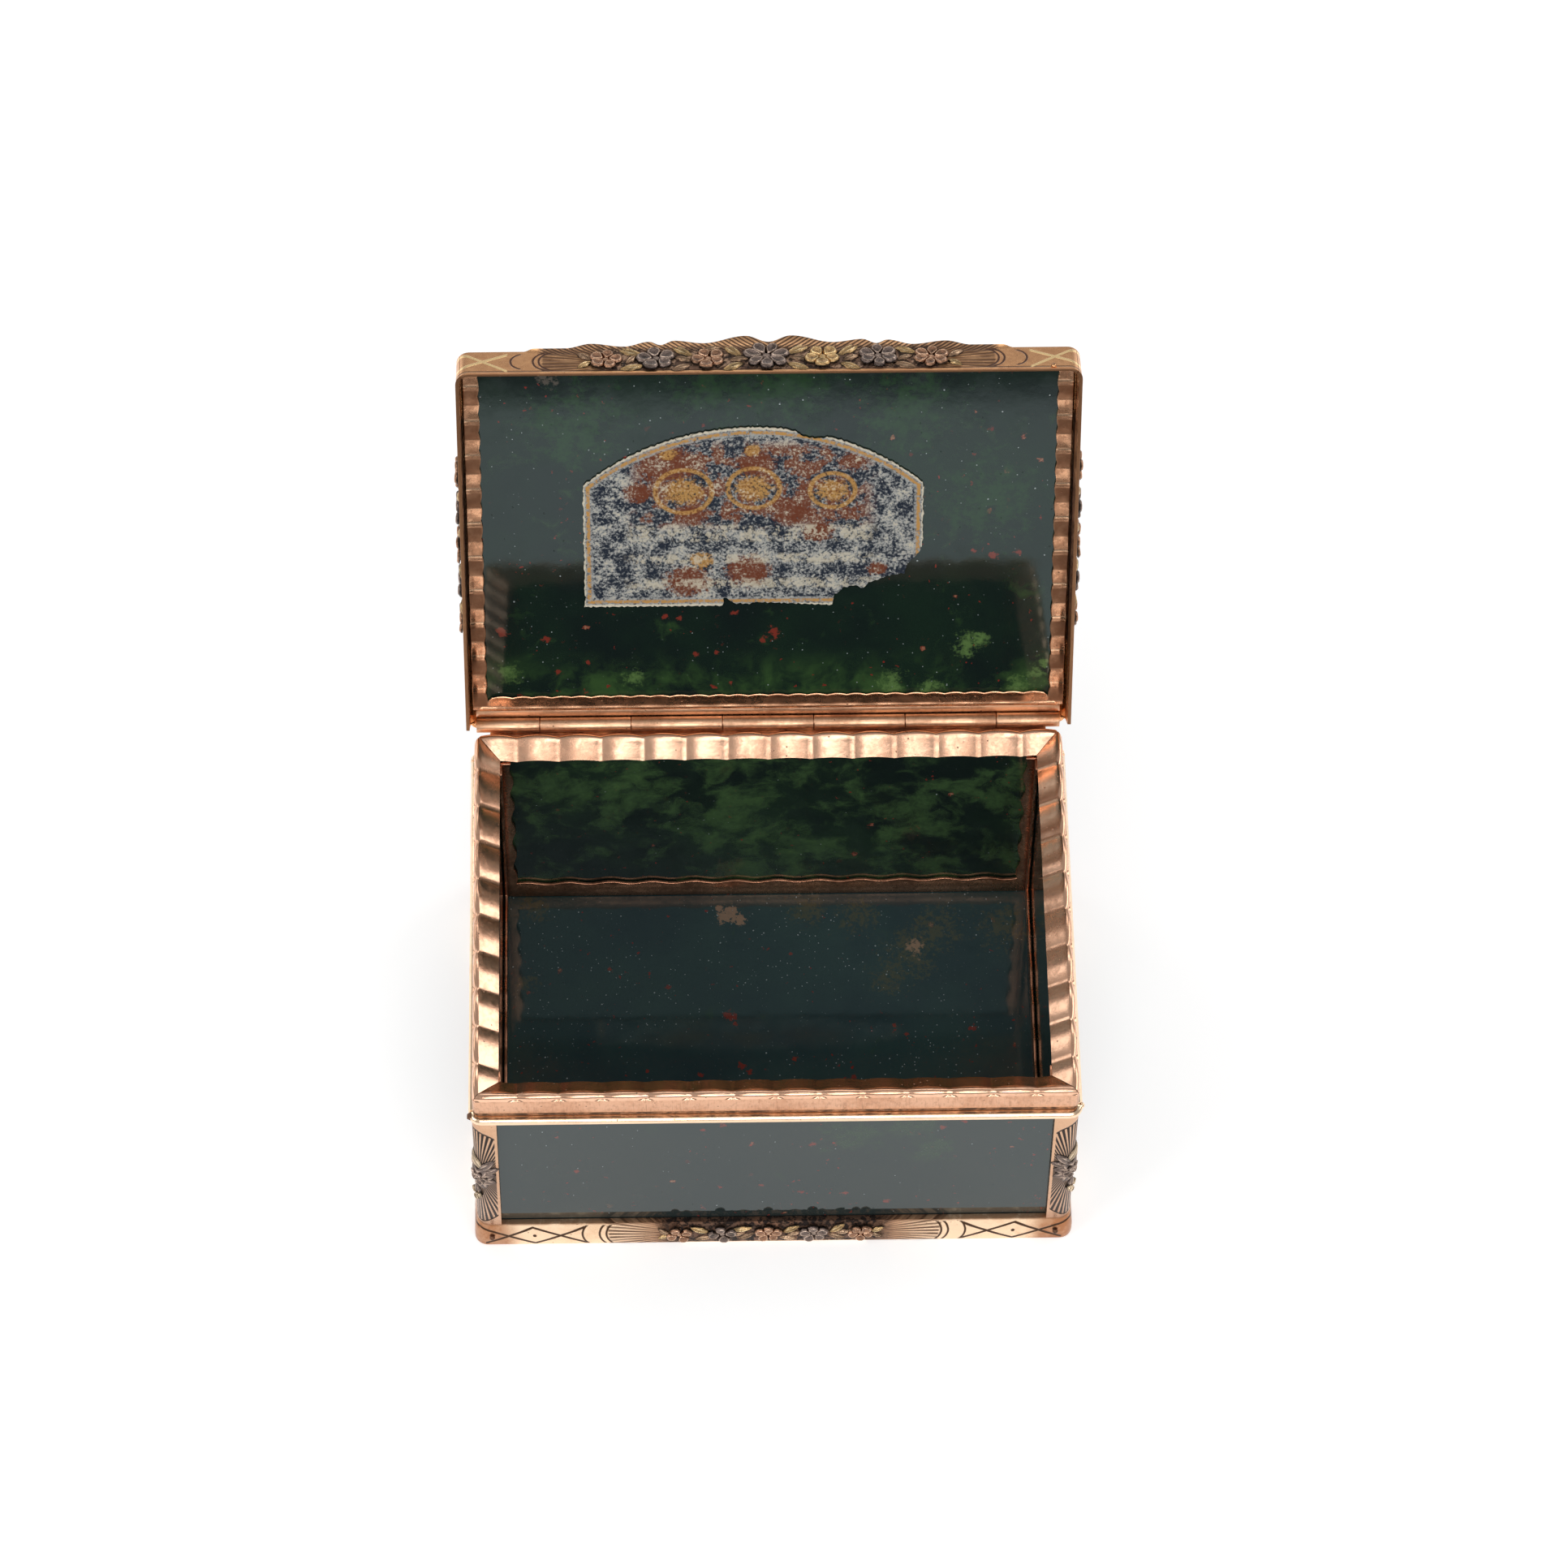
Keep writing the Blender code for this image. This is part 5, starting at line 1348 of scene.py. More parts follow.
@dataclass
class Mouth:
    """Ledge, upright band and fluted flange round the mouth."""

    band_top: float = 34.9
    flange_width: float = 3.2
    flange_foot: float = 34.2
    fold: float = 0.55
    thickness: float = 0.35
    flute_depth: float = 0.32
    scallop: float = 0.22
    fold_steps: int = 7
    slope_steps: int = 5
    flute_steps: int = 12
    front_corner: float = 0.41
    back_corner: float = 1.1
    end_gap: float = 0.05
    fall: float = math.radians(31.0)
    fade: float = 0.3
    scallop_reach: float = 1.2
    ledge_edge: float = 0.1
    band_edge: float = 0.06
    band_trim: float = 0.02
    stud_half: float = 0.36
    ball_radius: float = 0.42
    flutes: dict[Side, int] = field(default_factory=lambda: {
        Side.FRONT: 14, Side.RIGHT: 10, Side.BACK: 14, Side.LEFT: 10})

    def build(self) -> None:
        """Model and dress the ledge, band and flange."""
        ledge = Gold("ledge_gold", Body.CASE, PALE_GOLD, PALE_TARNISH, roughness=0.16, tarnish_share=0.3)
        for side in Side:
            node = "ledge_" + side.label
            obj = BENCH.soften(BENCH.copy_of(node), self.ledge_edge, 3)
            BENCH.deliver(obj, node + "_moulded", Body.CASE, "ledge_gold", material_of(ledge), node)
        self.ledge_ends(material_of(ledge))
        band = BandGold("brushed_band_gold", Body.CASE, (0.76, 0.44, 0.285), COPPER_TARNISH, roughness=0.30,
                        tarnish_share=0.5, brush=(6.0, 6.0, 0.4), brush_depth=0.5)
        obj = BENCH.copy_of("bezel_band")
        with BENCH.edit(obj):
            BENCH.slice((0.0, 0.0, self.band_top - self.band_trim), (0.0, 0.0, 1.0))
        BENCH.deliver(BENCH.soften(obj, self.band_edge), "bezel_band_brushed", Body.CASE, "band_gold",
                      material_of(band), "bezel_band")
        low, high = Body.CASE.extent("bezel_band")
        flange = FlangeGold("fluted_mouth_gold", Body.CASE, (0.91, 0.55, 0.37), (0.62, 0.32, 0.19),
                            roughness=0.17, tarnish_share=0.5, brush_depth=0.12, dents=0.2, front=low.y)
        for side in Side:
            half, other = (high.x, high.y) if side.is_long else (high.y, high.x)
            node = "mouth_flange_" + side.label
            BENCH.deliver(self.strip(side, half, other), node + "_fluted", Body.CASE, "mouth_gold",
                          material_of(flange), node)

    def ledge_ends(self, finish: bpy.types.Material) -> None:
        """Worn ends of the side ledges: a pointed stud on the left, a ball on the right."""
        low, high = Body.CASE.extent("ledge_front")
        size = self.stud_half
        stud = BENCH.box((-size, -size, -size), (size, size, size))
        stud.data.transform(Matrix.Translation(Vector((low.x + size, low.y + 1.1, high.z - 0.45)) * MM)
                            @ Matrix.Rotation(math.pi / 4, 4, "Y"))
        dark = Gold("stud_gold", Body.CASE, BROWN_TARNISH, (0.08, 0.05, 0.03), roughness=0.4)
        BENCH.deliver(BENCH.soften(stud, self.band_edge), "ledge_stud_left", Body.CASE, "ledge_gold",
                      material_of(dark))
        ball = BENCH.ball((high.x - 0.2, low.y + 1.6, high.z - 0.36), self.ball_radius)
        BENCH.deliver(ball, "ledge_drop_right", Body.CASE, "ledge_gold", finish)

    def section(self) -> Section:
        """Outer face of the flange, from the skirt over the fold and down to the opening."""
        top = Body.CASE.extent("mouth_flange_front")[1].z
        centre = top - self.fold
        points = [(0.0, self.band_top)]
        for k in range(self.fold_steps + 1):
            angle = (math.pi / 2 + self.fall) * k / self.fold_steps
            points.append((self.fold * (1 - math.cos(angle)), centre + self.fold * math.sin(angle)))
        start_inset, start_height = points[-1]
        for k in range(1, self.slope_steps + 1):
            share = k / self.slope_steps
            points.append((start_inset + (self.flange_width - start_inset) * share,
                           start_height + (self.flange_foot - start_height) * share))
        return points

    def strip(self, side: Side, half: float, other: float) -> bpy.types.Object:
        """One fluted strip, mitred at both ends.

        Args:
            side: side of the mouth.
            half: half of the strip's length.
            other: distance of its outer face from the middle.

        Returns:
            The strip in place.
        """
        section = self.section()
        flutes = self.flutes[side]
        columns = flutes * self.flute_steps

        def shape(i: int, j: int) -> Point:
            """Crossing of the strip's sheet."""
            inset, height = section[j]
            place = (i % self.flute_steps) / self.flute_steps
            valley = (2 * place - 1) ** 2
            share = min(max((height - self.band_top) / self.fade, inset / self.fade, 0.0), 1.0)
            step = self.scallop * valley * share * max(1 - inset / self.scallop_reach, 0.0)
            along = -half + 2 * half * i / columns
            return along, -other + inset + step, height - self.flute_depth * valley * share

        obj = BENCH.sheet(columns, len(section) - 1, shape)
        if obj.data.polygons[len(obj.data.polygons) // 2].normal.z < 0:
            obj.data.flip_normals()
        BENCH.finish_with(obj, "SOLIDIFY", thickness=self.thickness * MM, offset=-1.0)
        with BENCH.edit(obj):
            for sign in (1, -1):
                BENCH.slice((sign * (half - self.end_gap), -other, 0.0), (sign, 1.0, 0.0))
        obj.data.transform(Matrix.Rotation(side.turn, 4, "Z"))
        x, y = (half, other) if side.is_long else (other, half)
        with BENCH.edit(obj):
            for sx, sy in ((1, 1), (1, -1), (-1, 1), (-1, -1)):
                trim = self.front_corner if sy < 0 else self.back_corner
                BENCH.slice((sx * (x - trim), sy * y, 0.0), (sx, sy, 0.0))
        return obj


@dataclass
class Stones:
    """Polished panels of the case."""

    wall: float = -26.0
    floor_top: float = 2.2
    rust: Colour = (0.20, 0.032, 0.022)
    tan: Colour = (0.30, 0.19, 0.12)
    moss: Colour = (0.070, 0.072, 0.042)
    red_spots: tuple[Point, ...] = (
        (-5.0, 4.8, 0.85), (-3.6, -2.6, 0.6), (-2.4, -3.4, 0.4), (-8.9, -3.9, 0.35), (-15.7, -3.3, 0.3),
        (26.0, 2.8, 0.5), (10.6, -4.4, 0.35), (-12.9, 9.2, 0.4), (17.5, 1.9, 0.3), (-20.5, 12.0, 0.25),
        (3.0, 14.0, 0.25), (-4.4, 3.6, 0.35), (16.0, 3.1, 0.3),
    )
    moss_spots: tuple[Point, ...] = (
        (18.6, 13.9, 3.4), (15.4, 10.2, 2.6), (22.0, 17.5, 3.0), (30.0, 18.0, 3.0), (5.0, 21.0, 2.4),
        (-30.0, 21.0, 2.2), (-31.0, 10.0, 1.6), (12.0, 19.5, 2.6),
    )
    wall_spots: tuple[Point, ...] = (
        (-6.5, 27.6, 0.5), (-3.0, 22.5, 0.35), (-1.4, 12.5, 0.4), (4.5, 22.6, 0.5), (8.7, 10.2, 0.5),
        (-9.0, 26.4, 0.35), (14.0, 8.0, 0.4), (-27.0, 25.0, 0.4), (-24.6, 16.5, 0.35), (20.5, 26.5, 0.4),
    )

    def build(self) -> None:
        """Dress the five panels."""
        wall, top = self.wall, self.floor_top
        green = (0.028, 0.050, 0.028)
        front = Bloodstone("front_wall_stone", Body.CASE, clouds=0.1, red=0.5, tan=0.2, dust=0.15,
                           dark=(0.020, 0.028, 0.0275), green=(0.0235, 0.0305, 0.0285), blots=(
            Blot((9.5, wall, 25.0), 4.4, green, 0.4, 0.9), Blot((16.5, wall, 26.5), 4.0, green, 0.4, 0.9),
            Blot((19.5, wall, 21.0), 3.4, green, 0.4, 0.9),
            *(Blot((x, wall, z), radius, self.rust, 1.0, 0.5) for x, z, radius in self.wall_spots),
            Blot((-20.6, wall, 7.6), 0.55, (0.07, 0.045, 0.03)),
            Blot((28.6, wall, 11.0), 0.4, (0.02, 0.012, 0.01))))
        paint_node("front_stone", material_of(front))
        # Its glow colour sets the painted glints, brightest on this panel.
        back = Bloodstone("clouded_back_stone", Body.CASE, clouds=0.95, red=0.3, tan=0.2, dust=0.1,
                          dark=(0.006, 0.011, 0.009), green=(0.012, 0.026, 0.014),
                          cloud=(0.046, 0.092, 0.032), glow=(0.22, 0.40, 0.10))
        paint_node("back_stone", material_of(back))
        sides = Bloodstone("side_wall_stone", Body.CASE, clouds=0.5, red=0.3, tan=0.3)
        for node in ("left_stone", "right_stone"):
            paint_node(node, material_of(sides))
        floor = Bloodstone("speckled_floor_stone", Body.CASE, clouds=0.05, red=0.3, tan=0.15, dust=1.1,
                           dark=(0.021, 0.043, 0.048), green=(0.027, 0.056, 0.055), blots=(
            *(Blot((x, y, top), radius, self.rust, 1.0, 0.4) for x, y, radius in self.red_spots),
            *(Blot((x, y, top), radius, self.moss, 1.0, 0.8) for x, y, radius in self.moss_spots),
            Blot((-4.9, 19.9, top), 1.3, self.tan), Blot((-3.6, 18.9, top), 0.7, self.tan),
            Blot((19.0, 14.6, top), 1.1, self.tan, 1.0, 0.6), Blot((-6.2, 21.0, top), 0.5, self.tan)))
        paint_node("base_stone", material_of(floor))


@dataclass
class WallRetainers:
    """Wavy-edged strips that hold the wall panels from inside."""

    edge: float = 0.09

    def build(self) -> None:
        """Model and dress the four strips."""
        finish = material_of(Gold("retainer_copper", Body.CASE, (0.74, 0.34, 0.20), (0.34, 0.15, 0.09),
                                  roughness=0.26, tarnish_share=0.8, dents=0.2))
        for side in Side:
            node = "wall_retainer_" + side.label
            obj = BENCH.soften(BENCH.copy_of(node), self.edge, 2)
            BENCH.deliver(obj, node + "_edged", Body.CASE, "wall_retainer_gold", finish, node)


@dataclass
class Hinge:
    """Seven knuckles on one pin, the case's rail and the lid's leaf."""

    edge: float = 0.06

    def build(self) -> None:
        """Model and dress the hinge."""
        on_case = [f"case_knuckle_{k}" for k in (1, 2, 3)] + ["hinge_pin", "case_hinge_rail"]
        on_lid = [f"lid_knuckle_{k}" for k in (1, 2, 3, 4)] + ["lid_hinge_leaf"]
        for body, nodes in ((Body.CASE, on_case), (Body.LID, on_lid)):
            finish = material_of(Gold(f"knuckle_gold_{body.value}", body, (0.84, 0.50, 0.31),
                                      (0.46, 0.23, 0.13), roughness=0.30, tarnish_share=0.8,
                                      brush=(0.5, 5.0, 5.0), brush_depth=0.3))
            for node in nodes:
                obj = BENCH.soften(BENCH.copy_of(node), self.edge, 2)
                BENCH.deliver(obj, node + "_worn", body, "hinge_gold", finish, node)


# Lid


@dataclass
class LidMount:
    """Four mitred strips round the lid; the front one rises in a wavy crest."""

    half_x: float = 37.77
    reach: float = 55.1
    back: float = 1.35
    corner: float = 1.6
    rim: float = -4.45
    face_top: float = 0.45
    wall: float = 0.36
    border: float = 2.9
    shoulder: float = 1.9
    shoulder_height: float = 2.8
    lip_top: float = 3.05
    lip_foot: float = 2.55
    lip_inset: float = 2.25
    bead: float = 0.06
    end_cut: float = 2.3
    end_top: float = 0.5
    back_foot: float = 1.15
    back_face: float = 0.6
    back_seat: float = 1.9
    ridge: float = 0.45
    lean: float = 0.43
    crest: tuple[tuple[float, float], ...] = (
        (0.0, 1.04), (2.75, 1.87), (7.85, 0.93), (11.4, 1.3), (13.1, 0.73), (14.4, 1.19), (17.5, 0.57),
        (21.5, 0.99), (24.5, 0.42), (28.4, 0.42), (29.6, 0.0),
    )
    step: float = 0.35
    corner_steps: int = 7
    end_gap: float = 0.05
    drop_x: float = 34.3
    drop_radius: float = 0.34

    def build(self) -> None:
        """Model and dress the four strips and the solder ball."""
        finish = material_of(ChasedGold("chased_lid_gold", Body.LID, (1.0, 0.57, 0.28), (0.56, 0.27, 0.13),
                                        roughness=0.22, tarnish_share=0.6, half_x=self.half_x,
                                        reach=self.reach))
        for side in Side:
            obj = self.strip(side)
            node = "lid_mount_" + side.label
            BENCH.deliver(obj, node + "_chased", Body.LID, "lid_gold", finish, node)
        ball = BENCH.ball((self.drop_x, -self.reach - 0.1, self.rim + 0.5), self.drop_radius)
        BENCH.deliver(ball, "solder_drop", Body.LID, "lid_gold", finish)

    def crest_rise(self, x: float) -> float:
        """Rise of the wavy crest above the face at a distance from the middle."""
        x = abs(x)
        for (x0, rise0), (x1, rise1) in zip(self.crest, self.crest[1:]):
            if x <= x1:
                share = 0.5 - 0.5 * math.cos(math.pi * (x - x0) / (x1 - x0))
                return rise0 + (rise1 - rise0) * share
        return 0.0

    def section(self, distance: float, crest: float = 0.0) -> Section:
        """Closed section of the mount as (inset, height) points, at a distance from the hinge axis."""
        share = min(max((self.end_cut - distance) / (self.end_cut + self.end_top), 0.0), 1.0)
        rim = self.rim + (self.back_foot - self.rim) * share
        face_top = max(self.face_top, rim + self.back_face)
        behind = min(max((-distance - self.end_top) / (self.back - self.end_top), 0.0), 1.0)
        wall = self.wall + (self.back_seat - self.wall) * behind
        slope = (self.shoulder_height - face_top) / self.shoulder
        bead = self.bead * (1 - share)
        points = [(0.0, rim), (-bead * 0.7, rim + bead * 0.3), (-bead, rim + bead),
                  (-bead * 0.7, rim + bead * 1.7), (0.0, rim + bead * 2.1)]
        foot = face_top - 0.5 * (1 - share) - 0.1
        for k in range(4):
            rise = k / 3
            height = foot + (face_top + crest - foot) * rise
            points.append((-self.lean * crest * rise * rise, height))
        inset = self.ridge - self.lean * crest
        points.append((inset * 0.4 - self.lean * crest * 0.6, face_top + crest + 0.04))
        points.append((inset, max(face_top + crest - 0.03, face_top + slope * inset)))
        points.append((self.ridge + 0.15, face_top + slope * (self.ridge + 0.15)))
        points += [(self.shoulder, self.shoulder_height), (self.shoulder + 0.4, self.lip_top - 0.05),
                   (self.border - 0.15, self.lip_top), (self.border, self.lip_top - 0.12),
                   (self.border, self.lip_foot), (self.lip_inset, self.lip_foot),
                   (wall, max(0.65, rim + 0.1)), (wall, rim), (0.0, rim)]
        return points

    def stations(self, low: float, high: float) -> list[float]:
        """Places along a strip, close together round its corners."""
        places = []
        for k in range(self.corner_steps):
            places.append(low + self.corner * (1 - math.sin(math.pi / 2 * (1 - k / self.corner_steps))))
        start, end = low + self.corner, high - self.corner
        count = math.ceil((end - start) / self.step)
        places += [start + (end - start) * k / count for k in range(count + 1)]
        places += [high + low - place for place in reversed(places[:self.corner_steps])]
        return places

    def strip(self, side: Side) -> bpy.types.Object:
        """One strip of the mount, mitred at both ends."""
        if side.is_long:
            low, high = -self.half_x, self.half_x
        else:
            low, high = -self.reach, self.back
        stations = self.stations(low, high)
        rows = len(self.section(0.0)) - 1

        def shape(i: int, j: int) -> Point:
            """Crossing of the strip's sheet."""
            place = stations[i]
            beyond = max(low + self.corner - place, place - (high - self.corner))
            drop = corner_drop(beyond, self.corner)
            if side is Side.FRONT:
                inset, height = self.section(self.reach, self.crest_rise(place))[j]
            elif side is Side.BACK:
                inset, height = self.section(-self.back + drop)[j]
            else:
                inset, height = self.section(-place)[j]
            drop = corner_drop(beyond, self.corner - inset) if inset < self.corner else 0.0
            if side is Side.FRONT:
                return place, -self.reach + inset + drop, height
            if side is Side.BACK:
                return place, self.back - inset - drop, height
            edge = self.half_x - inset - drop
            return (edge if side is Side.RIGHT else -edge), place, height

        obj = BENCH.sheet(len(stations) - 1, rows, shape)
        gap = self.end_gap
        with BENCH.edit(obj):
            if side.is_long:
                y = -self.reach if side is Side.FRONT else self.back
                way = 1.0 if side is Side.FRONT else -1.0
                for sign in (1, -1):
                    BENCH.slice((sign * (self.half_x - gap), y, 0.0), (sign, way, 0.0))
            else:
                sx = 1.0 if side is Side.RIGHT else -1.0
                BENCH.slice((sx * self.half_x, -self.reach + gap, 0.0), (-sx, -1.0, 0.0))
                BENCH.slice((sx * self.half_x, self.back - gap, 0.0), (-sx, 1.0, 0.0))
        return BENCH.heal(obj)


@dataclass
class LidSprays:
    """Chased sprays on the lid's front and side faces."""

    front_height: float = -1.75
    blooms: tuple[Bloom, ...] = (
        Bloom(-19.7, 0.0, 2.0, Tone.ROSE, 5, 0.1), Bloom(-13.6, 0.1, 2.35, Tone.GREY, 5, 0.5),
        Bloom(-7.3, 0.0, 2.1, Tone.ROSE, 5, 0.75), Bloom(-0.3, 0.5, 2.8, Tone.GREY, 7, 0.25),
        Bloom(6.5, 0.3, 2.2, Tone.YELLOW, 5, 0.9), Bloom(13.2, 0.3, 2.4, Tone.GREY, 6, 0.6),
        Bloom(19.6, 0.0, 2.2, Tone.ROSE, 6, 0.4),
    )
    fronds: tuple[Frond, ...] = (
        Frond(-16.7, 1.75, 3.6, 1.5, -0.45), Frond(-16.5, -1.65, 3.4, 1.3, 0.25),
        Frond(-16.6, 0.1, 2.4, 1.0, 0.9, Tone.BRONZE),
        Frond(-10.5, 1.95, 3.6, 1.4, -0.70), Frond(-10.6, -1.75, 2.8, 1.2, 0.45, Tone.BRONZE),
        Frond(-10.3, 0.1, 2.6, 1.0, -0.3, Tone.BRONZE), Frond(-6.9, 2.4, 3.0, 1.0, 0.30, Tone.BRONZE),
        Frond(-4.4, 2.0, 3.6, 1.5, -0.85), Frond(-4.3, -1.55, 3.2, 1.4, 0.55),
        Frond(-3.6, 0.0, 2.6, 1.0, 0.1, Tone.BRONZE), Frond(3.6, 2.15, 3.8, 1.5, 0.60),
        Frond(3.5, -1.6, 3.2, 1.3, -0.45), Frond(3.6, 0.1, 2.4, 1.0, -0.2, Tone.BRONZE),
        Frond(9.7, 2.0, 3.9, 1.5, 0.75), Frond(9.8, -1.65, 3.1, 1.3, -0.50),
        Frond(9.9, 0.1, 2.6, 1.0, 0.5, Tone.BRONZE),
        Frond(16.5, 1.75, 3.2, 1.3, -0.45), Frond(16.4, -1.6, 3.2, 1.3, -0.40, Tone.BRONZE),
        Frond(16.4, 0.1, 2.4, 0.9, 0.4, Tone.BRONZE), Frond(-22.3, 0.9, 2.6, 1.0, 2.5, Tone.BRONZE),
        Frond(-22.2, -0.9, 2.4, 1.0, -2.5), Frond(22.6, 0.9, 2.6, 1.0, 0.6, Tone.BRONZE),
        Frond(22.4, -1.1, 2.4, 1.0, -0.6),
    )
    side_blooms: tuple[Bloom, ...] = (
        Bloom(-10.8, 0.0, 1.9, Tone.ROSE, 5, 0.3), Bloom(-5.4, 0.1, 2.1, Tone.GREY, 5, 0.7),
        Bloom(0.0, 0.2, 2.4, Tone.ROSE, 6, 0.2), Bloom(5.4, 0.1, 2.1, Tone.GREY, 5, 0.5),
        Bloom(10.8, 0.0, 1.9, Tone.ROSE, 5, 0.9),
    )
    side_leaf_spots: tuple[float, ...] = (-8.1, -2.7, 2.7, 8.1)
    side_middle: float = -28.5
    sunk: float = 0.02

    def build(self) -> None:
        """Model and dress the three sprays."""
        mount = LidMount()
        face = face_frame(Side.FRONT, mount.reach - self.sunk, self.front_height)
        spray = CHASER.spray([*self.blooms, *self.fronds], Body.LID, face)
        BENCH.deliver(spray, "lid_spray_front_chased", Body.LID, "relief_gold", None, "lid_spray_front")
        leaves = []
        for along in self.side_leaf_spots:
            leaves.append(Frond(along, 1.45, 2.4, 1.0, 0.5 if along > 0 else -0.5))
            leaves.append(Frond(along, -1.5, 2.4, 0.95, -0.4 if along > 0 else 0.4))
        for side in (Side.LEFT, Side.RIGHT):
            face = face_frame(side, mount.half_x - self.sunk, self.front_height, self.side_middle)
            spray = CHASER.spray([*self.side_blooms, *leaves], Body.LID, face)
            node = "lid_spray_" + side.label
            BENCH.deliver(spray, node + "_chased", Body.LID, "relief_gold", None, node)


@dataclass(frozen=True)
class RetainerGold(Gold):
    """Lid retainers: on the side strips every flute has painted shade on one half and a painted highlight
    near its end.
    """

    half_x: float = 33.0
    reach: float = 55.1
    pitch: float = 5.0

    def layers(self, sheet: NodeSheet, at: Wire) -> list[Layer]:
        """Dirt on all strips; painted shade on one half of every flute of the side strips, and a painted
        highlight near the end of each flute.
        """
        x, y, _ = sheet.split(at)
        side = abs(x).rise(self.half_x - 0.3, self.half_x + 0.3)
        turn = ((y + self.reach) / self.pitch).part()
        drift = sheet.noise(at, 0.3, detail=3.0).rise(0.3, 0.6)
        # Painted shade on one half of each flute of the side strips.
        shaded_facets = turn.within(0.08, 0.50, 0.03) * side
        # Painted highlight: a thin bright line near the end of each flute.
        edge = turn.within(0.93, 0.985, 0.02) * side
        dirt = sheet.noise(at, 0.7, detail=5.0, roughness=0.7).rise(0.44, 0.62)
        return [Layer(dirt * 0.5, (0.34, 0.16, 0.09), 0.34, 0.1),
                Layer(shaded_facets * (0.5 + drift * 0.4), (0.25, 0.115, 0.062), 0.36, 0.3),
                Layer(edge * 0.7, (1.0, 0.68, 0.44), 0.18, -0.2)]


@dataclass
class LidRetainers:
    """Fluted strips with wavy edges that hold the lid panel."""

    foot: float = 0.28
    top: float = 0.6
    flute_depth: float = 0.16
    pitch: float = 5.0
    wave: float = 0.20
    lip: float = 0.07
    flute_steps: int = 12
    across_steps: int = 14
    edge: float = 0.03
    long_dip: float = 0.4

    def build(self) -> None:
        """Model and dress the four strips."""
        inner = Body.LID.extent("lid_retainer_right")[0].x
        finish = material_of(RetainerGold("fluted_retainer_copper", Body.LID, (0.84, 0.46, 0.27),
                                          (0.46, 0.22, 0.12), roughness=0.22, tarnish_share=0.6,
                                          brush_depth=0.1, dents=0.15, half_x=inner, pitch=self.pitch))
        for side in Side:
            node = "lid_retainer_" + side.label
            low, high = Body.LID.extent(node)
            BENCH.deliver(self.strip(side, low, high), node + "_fluted", Body.LID, "lid_retainer_gold",
                          finish, node)

    def strip(self, side: Side, low: Vector, high: Vector) -> bpy.types.Object:
        """One strip: flutes on the side that faces the case, a wavy inner edge, mitred ends."""
        start, end = (low.x, high.x) if side.is_long else (low.y, high.y)
        outer, inner = {
            Side.FRONT: (low.y, high.y), Side.BACK: (high.y, low.y),
            Side.RIGHT: (high.x, low.x), Side.LEFT: (low.x, high.x),
        }[side]
        inner -= math.copysign(self.wave, inner - outer)
        flutes = max(1, round((end - start) / self.pitch))
        columns = flutes * self.flute_steps

        def shape(i: int, j: int) -> Point:
            """Crossing of the strip's sheet."""
            along = start + (end - start) * i / columns
            place = (i % self.flute_steps) / self.flute_steps
            wave = self.wave * math.sin(2 * math.pi * i / self.flute_steps)
            below = j <= self.across_steps
            share = j / self.across_steps if below else 2 - j / self.across_steps
            share = min(max(share, 0.0), 1.0)
            across = outer + (inner - outer) * share + math.copysign(wave * share * share, inner - outer)
            dip = (0.5 - 0.5 * math.cos(2 * math.pi * place)) * min(share * 3, 1.0)
            if side.is_long:
                dip *= self.long_dip
                edges = math.exp(-((share - 0.90) / 0.07) ** 2) + math.exp(-((share - 0.12) / 0.08) ** 2)
            else:
                edges = 0.4 * math.exp(-((share - 0.93) / 0.06) ** 2)
            height = self.foot + self.flute_depth * dip - self.lip * edges if below else self.top
            if j == 2 * self.across_steps + 1:
                across, height = outer, self.foot
            return (along, across, height) if side.is_long else (across, along, height)

        obj = BENCH.sheet(columns, 2 * self.across_steps + 1, shape)
        with BENCH.edit(obj):
            for corner, normal in self.mitres(side):
                BENCH.slice(corner, normal)
        return BENCH.soften(BENCH.heal(obj), self.edge)

    def mitres(self, side: Side) -> Iterator[tuple[Vector, Vector]]:
        """Point and direction of the two cuts that mitre a side's strip."""
        front_low, front_high = Body.LID.extent("lid_retainer_front")
        back_low, back_high = Body.LID.extent("lid_retainer_back")
        right_low, right_high = Body.LID.extent("lid_retainer_right")
        way = 1.0 if side.is_long else -1.0
        for sx, sy in ((-1, -1), (-1, 1), (1, -1), (1, 1)):
            belongs = (side is Side.FRONT) == (sy < 0) if side.is_long else (side is Side.RIGHT) == (sx > 0)
            if not belongs:
                continue
            y, width = front_low.y, front_high.y - front_low.y
            if sy > 0:
                y, width = back_high.y, back_high.y - back_low.y
            normal = Vector((sx * width, -sy * (right_high.x - right_low.x), 0.0)) * way
            yield Vector((sx * abs(front_low.x), y, 0.0)), normal


